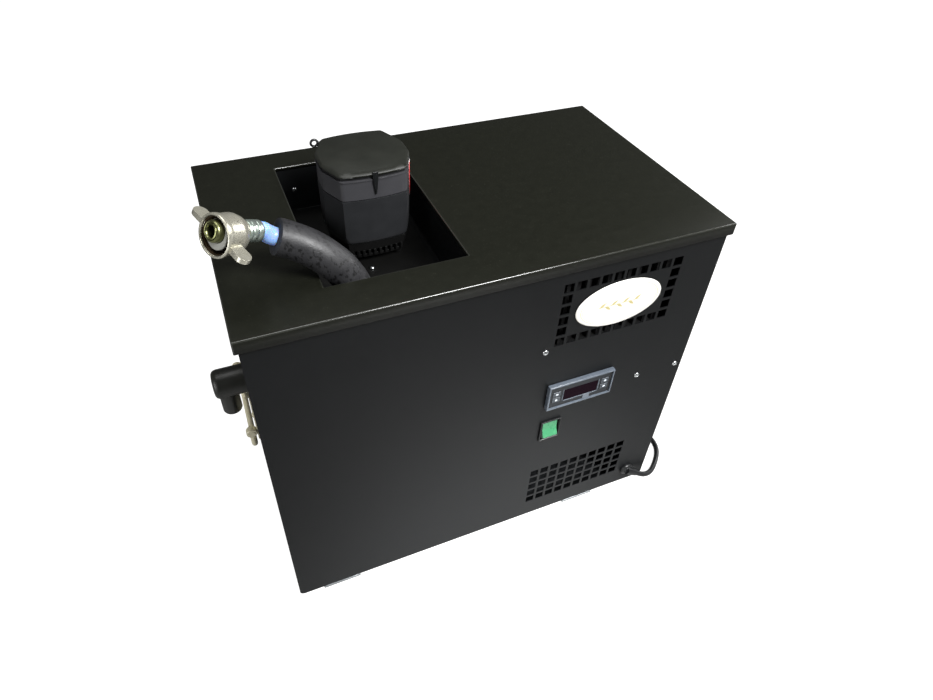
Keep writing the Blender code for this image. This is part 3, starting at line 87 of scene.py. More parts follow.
class CoolerSizes(bpy.types.PropertyGroup):
    """Sizes of the pieces that a user would change."""
    fold: FloatProperty(name="Lid fold", description="Radius of the folds of the lid's sheet",
                        default=1.1 * MM, unit="LENGTH")
    sheet: FloatProperty(name="Sheet", description="Thickness of the cabinet's sheet steel",
                         default=1.0 * MM, unit="LENGTH")
    hose: FloatProperty(name="Hose", description="Diameter of the product hose over its foam",
                        default=30 * MM, unit="LENGTH")
    hose_length: FloatProperty(name="Hose length", description="Length of the foam sleeve",
                               default=0.183, unit="LENGTH")
    lead: FloatProperty(name="Lead", description="Diameter of the mains lead",
                        default=6.5 * MM, unit="LENGTH")
    lead_length: FloatProperty(name="Lead length", description="Length of the mains lead",
                               default=1.8, unit="LENGTH")
    nut: FloatProperty(name="Nut", description="Outside diameter of the wing nut's rim",
                       default=33 * MM, unit="LENGTH")
    wing: FloatProperty(name="Wing reach", description="From the nut's axis to a wing's tip",
                        default=31 * MM, unit="LENGTH")
    wing_angle: FloatProperty(name="Wing angle", description="Turn of the wings about the nut's axis",
                              default=math.radians(104), subtype="ANGLE")


def colour_choice(label, words, code):
    """A colour property with an sRGB hex default."""
    return StringProperty(name=label, description=words, default=code)


class CoolerColours(bpy.types.PropertyGroup):
    """Colours of the finishes, as sRGB hex values."""
    coat: colour_choice("Powder coat", "Black sheet steel of the cabinet", "0f1011")
    coat_lid: colour_choice("Lid coat", "Olive-black coat of the lid", "11120d")
    coat_worn: colour_choice("Coat, worn", "Paler cast of the coat where it is handled", "141516")
    motor: colour_choice("Motor body", "Black ABS of the agitator's body", "1f2022")
    band: colour_choice("Motor band", "Lighter ABS of the agitator's upper band", "38383b")
    motor_top: colour_choice("Motor cap", "Olive-black cap of the agitator", "11130e")
    foam: colour_choice("Foam", "Black insulation foam of the hose", "1e1e20")
    tube: colour_choice("Inner tube", "Pale blue tube inside the hose", "86a9e6")
    nickel: colour_choice("Nickel", "Warm nickel plate of the wing nut", "dad8cb")
    bezel: colour_choice("Bezel", "Slate plastic of the controller", "4d545d")
    window: colour_choice("Window", "Red-violet acrylic of the display", "0b0108")
    lens: colour_choice("Lens", "Green lens of the rocker", "286343")
    badge: colour_choice("Badge", "White gloss of the badge", "f2f0ea")
    gold: colour_choice("Gold", "Thin gold line of the badge", "b5a870")


def linear(code):
    """An sRGB hex value as a linear colour."""
    channels = [int(code[index:index + 2], 16) / 255 for index in (0, 2, 4)]
    return [c / 12.92 if c <= 0.04045 else ((c + 0.055) / 1.055) ** 2.4 for c in channels] + [1.0]


def add_node(tree, kind, settings=(), values=(), links=()):
    """Adds a node, sets its settings and socket values, and joins its sockets to others."""
    made = tree.nodes.new(kind)
    for name, value in dict(settings).items():
        setattr(made, name, value)
    for name, value in dict(values).items():
        made.inputs[name].default_value = value
    for name, source in dict(links).items():
        tree.links.new(source, made.inputs[name])
    return made


def finish(name, colour, roughness, metallic=0.0, second=None, mottle=6.0, grit=None, rise=0.05,
           spread=0.08, stretch=(1, 1, 1), **sockets):
    """A finish with a mottled colour, uneven gloss and a fine grit.

    mottle and grit are sizes in millimetres; rise is the grit's height in millimetres.
    """
    made = bpy.data.materials.new(name)
    made.use_nodes = True
    tree = made.node_tree
    shader = tree.nodes["Principled BSDF"]
    shader.inputs["Metallic"].default_value = metallic
    for socket, value in sockets.items():
        shader.inputs[socket.replace("_", " ")].default_value = value
    places = add_node(tree, "ShaderNodeTexCoord").outputs["Object"]
    places = add_node(tree, "ShaderNodeMapping", values={"Scale": stretch},
                      links={"Vector": places}).outputs["Vector"]
    cloud = add_node(tree, "ShaderNodeTexNoise", values={"Scale": 1000 / mottle, "Detail": 4.0},
                     links={"Vector": places}).outputs["Fac"]
    tint = add_node(tree, "ShaderNodeMix", {"data_type": "RGBA"}, links={"Factor": cloud})
    tint.inputs["A"].default_value = linear(colour)
    tint.inputs["B"].default_value = linear(second or colour)
    tree.links.new(tint.outputs["Result"], shader.inputs["Base Color"])
    gloss = add_node(tree, "ShaderNodeMapRange",
                     values={"From Min": 0.3, "From Max": 0.7, "To Min": roughness - spread / 2,
                             "To Max": roughness + spread / 2}, links={"Value": cloud})
    tree.links.new(gloss.outputs["Result"], shader.inputs["Roughness"])
    if grit:
        grains = add_node(tree, "ShaderNodeTexNoise", values={"Scale": 1000 / grit, "Detail": 2.0},
                          links={"Vector": places}).outputs["Fac"]
        bump = add_node(tree, "ShaderNodeBump", values={"Strength": 0.6, "Distance": rise * MM},
                        links={"Height": grains})
        tree.links.new(bump.outputs["Normal"], shader.inputs["Normal"])
    return made


def marked(made, code, size, amount, stretch=(1, 1, 1)):
    """Adds sparse specks or scratches of another colour to a finish."""
    tree = made.node_tree
    shader = tree.nodes["Principled BSDF"]
    before = shader.inputs["Base Color"].links[0].from_socket
    places = add_node(tree, "ShaderNodeTexCoord").outputs["Object"]
    places = add_node(tree, "ShaderNodeMapping", values={"Scale": stretch},
                      links={"Vector": places}).outputs["Vector"]
    cells = add_node(tree, "ShaderNodeTexNoise",
                     values={"Scale": 1000 / size, "Detail": 3.0, "Roughness": 0.7},
                     links={"Vector": places}).outputs["Fac"]
    spots = add_node(tree, "ShaderNodeMapRange",
                     values={"From Min": 1 - amount - 0.05, "From Max": 1 - amount},
                     links={"Value": cells})
    mix = add_node(tree, "ShaderNodeMix", {"data_type": "RGBA"},
                   links={"Factor": spots.outputs["Result"], "A": before})
    mix.inputs["B"].default_value = linear(code)
    tree.links.new(mix.outputs["Result"], shader.inputs["Base Color"])
    return made


FINISHES = {}


def make_finishes(colours):
    """Every finish of the cooler, by the name of what it is on."""
    # Fine-texture polyester powder on sheet steel: a broad soft sheen and a pebble of under 1 mm
    FINISHES["coat"] = finish("Powder-coated steel", colours.coat, 0.4, second=colours.coat_worn,
                              mottle=40, grit=0.9, rise=0.03, spread=0.04,
                              Specular_IOR_Level=0.12)
    # The same coat on the lid, a touch rougher from things put down on it
    FINISHES["lid"] = marked(
        finish("Powder-coated lid", colours.coat_lid, 0.42, second="171812", mottle=9,
               grit=1.0, rise=0.03, spread=0.05, Specular_IOR_Level=0.15), "2a2b25", 1.6, 0.3)
    # The folds take a paler, glossier coat: the paler colour is a painted highlight along the folds
    FINISHES["edge"] = finish("Powder-coated fold, painted highlight", "20211d", 0.2, second="2a2b26", mottle=3,
                              spread=0.06, Specular_IOR_Level=0.9)
    # Hot-dip zinc: pale, with a spangle of about 8 mm
    FINISHES["zinc"] = finish("Galvanised sheet", "8f9396", 0.38, 1.0, "a9adaf", 8, 0.8, 0.02, 0.2)
    # Moulded ABS with a fine spark-eroded grain that scatters the light into a grey sheen
    FINISHES["motor"] = finish("Moulded ABS, black", colours.motor, 0.42, second="27282a", mottle=14,
                               grit=0.7, rise=0.03)
    FINISHES["band"] = finish("Moulded ABS, grey", colours.band, 0.36, second="3f3f42", mottle=12,
                              grit=0.7, rise=0.03)
    FINISHES["motor_top"] = finish("Moulded ABS, dusty", colours.motor_top, 0.5, second="181a13",
                                   mottle=20, grit=0.8, rise=0.03)
    FINISHES["foot"] = finish("Moulded nylon, dull", "060606", 0.6, second="0a0a0a", mottle=5,
                              Specular_IOR_Level=0.2)
    FINISHES["clip"] = finish("Moulded nylon, black", "0e0f10", 0.35, second="17191a", mottle=5)
    # Closed-cell foam skin: rubbery, pitted, scuffed pale in places
    FINISHES["foam"] = marked(
        finish("Closed-cell foam", colours.foam, 0.5, second="2a2a2c", mottle=9, grit=1.3, rise=0.25,
               spread=0.12), "040405", 3.0, 0.4, (1, 1, 0.5))
    FINISHES["foam_cut"] = finish("Cut foam", "17181b", 0.85, second="26282c", mottle=1.2, grit=0.6,
                                  rise=0.3)
    # Low-density polyethylene tube: milky, lit through from behind
    FINISHES["tube"] = finish("Blue polyethylene", colours.tube, 0.28, second="9dbbee", mottle=7,
                              grit=4, rise=0.05, Subsurface_Weight=0.4, Subsurface_Scale=0.006,
                              Transmission_Weight=0.12)
    # Warm nickel over brass, mottled; its sparse dark specks are painted shade
    FINISHES["nickel"] = marked(
        finish("Nickel-plated brass", colours.nickel, 0.26, 0.72, "a4a08d", 3.5, 0.9, 0.04, 0.16),
        "5f543d", 2.2, 0.3)
    # Pale and barely metallic: the handle's brightness is a painted reflection
    FINISHES["plated"] = finish("Nickel-plated steel", "ece6cc", 0.4, 0.1, "cfc8a8", 6, 0.9, 0.02)
    FINISHES["thread"] = finish("Tarnished thread", "4b3b28", 0.5, 0.8, "2e251a", 3, 0.8, 0.03)
    FINISHES["brass"] = finish("Dull brass", "6f7350", 0.34, 1.0, "8c8d62", 3, 0.8, 0.02)
    # Black stop deep in the nipple's bore: painted shade of the open bore
    FINISHES["bore"] = finish("Dark bore", "050505", 0.7)
    FINISHES["gasket"] = finish("Grey gasket rubber", "9a9a94", 0.6, second="858580", mottle=2,
                                grit=0.8, rise=0.03)
    FINISHES["crimp"] = marked(
        finish("Crimped ferrule", "c9d3cf", 0.3, 0.85, "8fa08f", 3.2, 0.9, 0.05, 0.2),
        "40463f", 2.0, 0.3)
    # Controller: glass-filled plastic with a soft sheen, smoked window, rubbery keys
    FINISHES["bezel"] = finish("Slate PPO plastic", colours.bezel, 0.27, second="565d66", mottle=10,
                               grit=0.6, rise=0.02)
    FINISHES["window"] = finish("Smoked acrylic", colours.window, 0.2, second="10030b", mottle=12,
                                spread=0.02, Specular_IOR_Level=0.02)
    FINISHES["key"] = finish("Keypad film", "2b3036", 0.4, second="363c42", mottle=2.5, grit=0.5,
                             rise=0.03)
    FINISHES["key_dot"] = finish("Key mark", "b9c0c6", 0.4)
    # Near-black fill for gaps: painted shade
    FINISHES["slot"] = finish("Shadow gap", "0b0c0e", 0.6)
    # Rocker: clear green polycarbonate, lit by its own lamp
    FINISHES["lens"] = finish("Green polycarbonate", colours.lens, 0.3, second="3f7f58", mottle=6,
                              Specular_IOR_Level=0.3, Emission_Strength=0.02)
    FINISHES["lens"].node_tree.nodes["Principled BSDF"].inputs["Emission Color"].default_value = \
        linear("46e69a")
    # Darker green for the paddle's sides and down-facing faces: painted shade
    FINISHES["lens_side"] = finish("Green polycarbonate, painted shade", "0c5a37", 0.25, second="0a4a2e",
                                   mottle=5, Emission_Strength=0.05)
    FINISHES["switch"] = finish("Moulded nylon, satin", "0d0e0f", 0.4, second="131415", mottle=6,
                                 grit=0.6, rise=0.01, Specular_IOR_Level=0.25)
    FINISHES["cover"] = finish("Black polypropylene", "090909", 0.45, second="0d0d0c", mottle=12,
                               grit=1.5, rise=0.05, Specular_IOR_Level=0.2)
    FINISHES["face"] = finish("Controller face film", "14171b", 0.4, second="1a1e22", mottle=8,
                              Specular_IOR_Level=0.3)
    FINISHES["badge"] = finish("White enamel", colours.badge, 0.16, second="eae7df", mottle=30,
                               spread=0.03, Coat_Weight=0.5)
    FINISHES["gold"] = finish("Gold ink", colours.gold, 0.4, 0.0, "c6ba88", 3)
    FINISHES["screw"] = finish("Zinc-plated steel", "c8cbcc", 0.24, 1.0, "a6a9ab", 2, 0.6, 0.01)
    # Soft PVC: nearly black, slick
    FINISHES["lead"] = finish("PVC sheath", "0c0d0e", 0.36, second="131415", mottle=8, grit=1.2,
                              rise=0.03, Specular_IOR_Level=0.35)
    FINISHES["elbow"] = finish("Moulded polypropylene", "1a1b19", 0.4, second="24251f", mottle=9,
                               grit=0.8, rise=0.03)
    FINISHES["sticker"] = finish("White vinyl", "f3eeec", 0.3, second="e9e2df", mottle=4)
    FINISHES["sticker_red"] = finish("Red vinyl", "c32a2f", 0.3, second="ad2226", mottle=4)
    # Inside pieces
    FINISHES["copper"] = finish("Bare copper", "b87350", 0.3, 1.0, "94563a", 6, 0.9, 0.03, 0.2)
    FINISHES["stainless"] = finish("Drawn stainless", "c4c6c6", 0.26, 1.0, "b0b3b4", 5, 0.6, 0.01,
                                   stretch=(1, 1, 6))
    FINISHES["polyurethane"] = finish("Rigid foam", "cfc39a", 0.9, second="bcae82", mottle=3, grit=1.5,
                                      rise=0.4)
    FINISHES["tank"] = finish("White polyethylene", "e4e6e3", 0.4, second="d8dbd8", mottle=20,
                              grit=2, rise=0.05)
    FINISHES["enamel"] = finish("Black enamel", "101012", 0.22, second="17171a", mottle=20, grit=2,
                                rise=0.04, Coat_Weight=0.3)
    # Condenser fins drawn near-black: painted shade behind the upper grille
    FINISHES["shaded_fins"] = finish("Aluminium fins, painted shade", "0c0c0d", 0.7, 0.0, "121213", 10)


def piece(name, bm, kind, body, replaced=(), sharp=35, wall=0.0, round_edges=0.0):
    """A finished piece from a bmesh."""
    bmesh.ops.recalc_face_normals(bm, faces=bm.faces)
    data = bpy.data.meshes.new(name)
    bm.to_mesh(data)
    bm.free()
    made = bpy.data.objects.new(name, data)
    bpy.context.scene.collection.objects.link(made)
    data.materials.append(FINISHES[kind])
    data.shade_smooth()
    data.set_sharp_from_angle(angle=math.radians(sharp))
    if wall:
        shell = made.modifiers.new("Wall", "SOLIDIFY")
        shell.thickness = wall
        shell.offset = -1.0
        shell.use_even_offset = True
    if round_edges:
        edges = made.modifiers.new("Edges", "BEVEL")
        edges.width = round_edges
        edges.segments = 3
        edges.limit_method = "ANGLE"
        edges.angle_limit = math.radians(30)
        edges.harden_normals = True
    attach(made, body)
    if replaced:
        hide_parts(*replaced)
    return made


def dress(kind, *nodes):
    """Gives CAD nodes a finish."""
    for node in nodes:
        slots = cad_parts[node].data.materials
        slots.clear()
        slots.append(FINISHES[kind])


def centre_of(node):
    """The middle of a CAD node's box."""
    low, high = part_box(node)
    return (low + high) / 2


def verts_in(geometry):
    """The vertices among an operator's results."""
    return [item for item in geometry if isinstance(item, bmesh.types.BMVert)]


def facing(bm, axis, sign):
    """The faces that look along an axis, 0 to 2, toward its plus or minus end."""
    return [face for face in bm.faces if face.normal[axis] * sign > 0.9]


def folds_over(bm, degrees):
    """The edges between two faces that meet at more than an angle."""
    return [edge for edge in bm.edges if len(edge.link_faces) == 2
            and edge.calc_face_angle(0) > math.radians(degrees)]


def rounded(bm, edges, size, segments=3, material=-1):
    """Rounds edges by a size in millimetres."""
    bmesh.ops.bevel(bm, geom=edges, offset=size * MM, affect="EDGES", segments=segments, profile=0.5,
                    material=material)


def drawn(bm, outline, reach):
    """An outline's face drawn out by a reach into a solid; returns its vertices."""
    face = bm.faces.new([bm.verts.new(point) for point in outline])
    moved = verts_in(bmesh.ops.extrude_face_region(bm, geom=[face])["geom"])
    bmesh.ops.translate(bm, vec=reach, verts=moved)
    return moved + list(face.verts)


def block(bm, low, high):
    """A box between two corners; returns its vertices."""
    low, high = Vector(low), Vector(high)
    made = bmesh.ops.create_cube(bm, size=1.0)["verts"]
    bmesh.ops.scale(bm, vec=high - low, verts=made)
    bmesh.ops.translate(bm, vec=(low + high) / 2, verts=made)
    return made


def spun(bm, profile, steps=48):
    """A profile of (radius, height) in millimetres, spun about Z; returns its vertices."""
    start = [bm.verts.new((radius * MM, 0, height * MM)) for radius, height in profile]
    edges = [bm.edges.new(pair) for pair in zip(start, start[1:])]
    made = bmesh.ops.spin(bm, geom=start + edges, cent=(0, 0, 0), axis=(0, 0, 1),
                          angle=2 * math.pi, steps=steps, use_merge=True)
    found = set(start) | set(verts_in(made["geom_last"]))
    linked = set(found)
    queue = list(found)
    while queue:
        for edge in queue.pop().link_edges:
            for vert in edge.verts:
                if vert not in linked:
                    linked.add(vert)
                    queue.append(vert)
    bmesh.ops.remove_doubles(bm, verts=list(linked), dist=0.00001)
    return [vert for vert in linked if vert.is_valid]


def aimed(axis, place):
    """A matrix that lays +Z along an axis and moves to a place."""
    turn = Vector((0, 0, 1)).rotation_difference(Vector(axis)).to_matrix().to_4x4()
    return Matrix.Translation(place) @ turn


def prism(bm, outline, low, high, top=1.0):
    """An outline of (x, y) points raised from one height to another; returns its vertices."""
    base = [bm.verts.new((x, y, low)) for x, y in outline]
    face = bm.faces.new(base)
    raised = verts_in(bmesh.ops.extrude_face_region(bm, geom=[face])["geom"])
    for vert in raised:
        vert.co = (vert.co.x * top, vert.co.y * top, high)
    return base + raised


def pierced(bm, low, high, openings):
    """A plate facing -Y with rectangular openings, each given by two corners."""
    across = sorted({low[0], high[0], *(corner.x for pair in openings for corner in pair)})
    up = sorted({low[2], high[2], *(corner.z for pair in openings for corner in pair)})
    grid = {(x, z): bm.verts.new((x, low[1], z)) for x in across for z in up}
    faces = []
    for left, right in zip(across, across[1:]):
        for bottom, top in zip(up, up[1:]):
            x, z = (left + right) / 2, (bottom + top) / 2
            if not any(a.x < x < b.x and a.z < z < b.z for a, b in openings):
                faces.append(bm.faces.new([grid[left, bottom], grid[right, bottom], grid[right, top],
                                           grid[left, top]]))
    moved = verts_in(bmesh.ops.extrude_face_region(bm, geom=faces)["geom"])
    bmesh.ops.translate(bm, vec=(0, high[1] - low[1], 0), verts=moved)
    bmesh.ops.delete(bm, geom=[vert for vert in bm.verts if not vert.link_faces], context="VERTS")
    bmesh.ops.recalc_face_normals(bm, faces=bm.faces)


def lathe(name, profile, lay, kind, replaced=(), sharp=35, steps=48):
    """A piece of the cabinet, spun from a profile and laid in place by a matrix."""
    bm = bmesh.new()
    spun(bm, profile, steps)
    bmesh.ops.transform(bm, matrix=lay, verts=bm.verts)
    return piece(name, bm, kind, "cabinet", replaced, sharp)


def curve_piece(name, points, radius, kind, body, replaced=(), sides=8):
    """A round cord or tube along points."""
    data = bpy.data.curves.new(name, "CURVE")
    data.dimensions = "3D"
    data.bevel_depth = radius
    data.bevel_resolution = sides
    data.use_fill_caps = True
    spline = data.splines.new("POLY")
    spline.points.add(len(points) - 1)
    for target, point in zip(spline.points, points):
        target.co = (*point, 1.0)
    spline.use_smooth = True
    made = bpy.data.objects.new(name, data)
    bpy.context.scene.collection.objects.link(made)
    data.materials.append(FINISHES[kind])
    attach(made, body)
    if replaced:
        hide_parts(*replaced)
    return made


def eased(points, step):
    """Points about a step apart on a smooth curve through a route's points."""
    points = [Vector(point) for point in points]
    ends = [points[0] * 2 - points[1]] + points + [points[-1] * 2 - points[-2]]
    dense = []
    for before, start, stop, after in zip(ends, ends[1:], ends[2:], ends[3:]):
        count = max(1, round((stop - start).length / step))
        for index in range(count):
            t = index / count
            dense.append(0.5 * (2 * start + (stop - before) * t
                                + (2 * before - 5 * start + 4 * stop - after) * t ** 2
                                + (3 * start - before - 3 * stop + after) * t ** 3))
    return dense + [points[-1]]


def at(x, y, z):
    """World point from the lid's front left corner, in millimetres, with z above the floor."""
    return Vector((LID_LOW.x + x * MM, LID_LOW.y + y * MM, z * MM))


class COOLER_OT_stage(bpy.types.Operator):
    """Lays the pale floor, hangs the soft lights and sets the camera"""
    bl_idname = "cooler.stage"
    bl_label = "Stage"

    def execute(self, context):
        bm = bmesh.new()
        bmesh.ops.create_grid(bm, x_segments=1, y_segments=1, size=6.0)
        data = bpy.data.meshes.new("floor")
        bm.to_mesh(data)
        bm.free()
        floor = bpy.data.objects.new("floor", data)
        context.scene.collection.objects.link(floor)
        paper = finish("Studio floor", "8a8a89", 0.7, second="868685", mottle=400)
        shader = paper.node_tree.nodes["Principled BSDF"]
        shader.inputs["Emission Color"].default_value = (1, 1, 1, 1)
        seen = add_node(paper.node_tree, "ShaderNodeLightPath").outputs["Is Camera Ray"]
        paper.node_tree.links.new(seen, shader.inputs["Emission Strength"])
        data.materials.append(paper)
        lights = (
            ("key", (0.50, -0.98, 1.55), 0.6, 52.0, (-0.05, 0.0, 0.35)),
            ("right", (1.70, 0.10, 0.95), 0.9, 16.0, (-0.05, 0.0, 0.4)),
            ("overhead", (-0.20, 0.25, 1.90), 0.8, 8.0, (-0.1, 0.0, 0.4)),
            ("left", (-1.50, -0.60, 0.60), 0.9, 12.0, (-0.2, 0.0, 0.3)),
        )
        for name, place, size, power, target in lights:
            lamp = bpy.data.lights.new(name, "AREA")
            lamp.size = size
            lamp.energy = power
            self.hang(context, lamp, place, target)
        pool = bpy.data.lights.new("pool", "SPOT")
        pool.energy = 330.0
        pool.spot_size = math.radians(21)
        pool.spot_blend = 1.0
        pool.shadow_soft_size = 0.1
        self.hang(context, pool, (0.45, -1.15, 1.10), (0.04, -0.23, 0.0))
        world = bpy.data.worlds.new("studio")
        world.use_nodes = True
        world.node_tree.nodes["Background"].inputs["Color"].default_value = (1, 1, 1, 1)
        world.node_tree.nodes["Background"].inputs["Strength"].default_value = 0.1
        context.scene.world = world
        lens = bpy.data.cameras.new("view")
        lens.lens = 25.127
        lens.sensor_width = 36.0
        lens.shift_x = 0.0198
        lens.shift_y = -0.0396
        lens.clip_start = 0.02
        camera = bpy.data.objects.new("view", lens)
        camera.location = (-0.21014, -0.50327, 0.72200)
        camera.rotation_euler = (math.radians(48.899), math.radians(-1.490), math.radians(-22.148))
        context.scene.collection.objects.link(camera)
        context.scene.camera = camera
        context.scene.view_settings.view_transform = "Standard"
        return {"FINISHED"}

    def hang(self, context, lamp, place, target):
        """Hangs a light at a place and aims it."""
        holder = bpy.data.objects.new(lamp.name, lamp)
        holder.location = place
        holder.rotation_euler = (Vector(target) - Vector(place)).to_track_quat("-Z", "Y").to_euler()
        context.scene.collection.objects.link(holder)


class COOLER_OT_lead(bpy.types.Operator):
    """Lays the mains lead in its coil, with its bush and its plug"""
    bl_idname = "cooler.lead"
    bl_label = "Mains lead"

    def execute(self, context):
        sizes = context.scene.cooler_sizes
        radius = sizes.lead / 2
        start = eased(CORD_ROUTE, 4 * MM)
        laid = sum((b - a).length for a, b in zip(start, start[1:]))
        # Turns wind in across the floor, out over them, then in again on top
        lanes = [(40.5, 0), (34.1, 0), (27.7, 0), (21.3, 0), (24.5, 1), (30.9, 1), (37.3, 1), (34.1, 2),
                 (27.7, 2)]
        centre = COIL_CENTRE
        first = math.atan2(start[-1].y - centre.y, start[-1].x - centre.x)
        points = list(start)
        angle = first - 0.35
        left = sizes.lead_length - laid - 0.045
        step = math.radians(10)
        lane = 0
        turned_by = 0.0
        while left > 0:
            here, level = lanes[lane % len(lanes)]
            after, next_level = lanes[(lane + 1) % len(lanes)]
            share = max(0.0, (turned_by - math.radians(280)) / math.radians(80))
            share = share * share * (3 - 2 * share)
            reach = (here + (after - here) * share) * MM
            height = radius + 0.15 * MM + (level + (next_level - level) * share) * 5.9 * MM
            point = Vector((centre.x + reach * math.cos(angle), centre.y + reach * math.sin(angle), height))
            gone = (point - points[-1]).length
            points.append(point)
            left -= gone
            angle -= step
            turned_by += step
            if turned_by >= 2 * math.pi:
                turned_by -= 2 * math.pi
                lane += 1
        plug_low, plug_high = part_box("mains_plug")
        back = (plug_low + plug_high) / 2
        back.y = plug_low.y - 0.3 * MM
        points += [points[-1].lerp(back, share) for share in (0.35, 0.7)] + [back]
        lead = curve_piece("lead_sheath", points, radius, "lead", "cabinet",
                           ("mains_cord", "mains_cord_coil"))
        plug = self.plug(plug_low, plug_high, radius)
        self.bush(start, radius)
        return {"FINISHED"}

    def plug(self, low, high, radius):
        """Round moulded plug with two pins."""
        bm = bmesh.new()
        lead = radius / MM
        body = [(0, 0), (lead + 0.8, 0), (lead + 1.0, 3), (lead + 1.6, 3.4), (lead + 1.2, 5),
                (lead + 1.8, 5.4), (lead + 1.5, 8), (lead + 2.3, 8.4), (lead + 2.1, 12), (lead + 3, 12.4),
                (lead + 3.4, 17), (10.5, 20), (15, 25), (16.9, 31), (17.4, 36), (17.4, 58), (16.8, 59.6),
                (15, 60), (0, 60)]
        spun(bm, body)
        for side in (-1, 1):
            pin = spun(bm, [(0, 59), (2.4, 59), (2.4, 77), (1.8, 78.6), (0, 79)], 20)
            bmesh.ops.translate(bm, vec=(side * 9.5 * MM, 0, 0), verts=pin)
        place = Vector(((low.x + high.x) / 2, low.y, (low.z + high.z) / 2))
        bmesh.ops.transform(bm, matrix=aimed((0, 1, 0), place), verts=bm.verts)
        made = piece("lead_plug", bm, "lead", "cabinet", ("mains_plug",), sharp=40)
        made.data.materials.append(FINISHES["screw"])
        for face in made.data.polygons:
            if face.center.y > place.y + 60.5 * MM:
                face.material_index = 1
        return made

    def bush(self, start, radius):
        """Low round bush on the panel, and the short boot that turns the lead to the right."""
        place = at(425, 0, 30)
        place.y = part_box("front_panel")[0].y
        bm = bmesh.new()
        spun(bm, [(8.4, 0.2), (8.5, 1.0), (8.5, 2.6), (7.9, 3.8), (6.6, 4.5), (5.2, 4.6), (4.9, 5.4),
                  (3.4, 5.8), (0, 5.8)])
        bmesh.ops.transform(bm, matrix=aimed((0, -1, 0), place), verts=bm.verts)
        root = place + Vector((0, -4.6 * MM, 0))
        reach = start[0] - root
        long = reach.length / MM
        boot = spun(bm, [(0, -1.5), (4.9, -1.0), (4.8, long * 0.4), (radius / MM + 0.7, long - 0.4),
                         (0, long - 0.3)], 32)
        bmesh.ops.transform(bm, matrix=aimed(reach, root), verts=boot)
        piece("lead_bush", bm, "lead", "cabinet", ("cord_gland",), sharp=40)


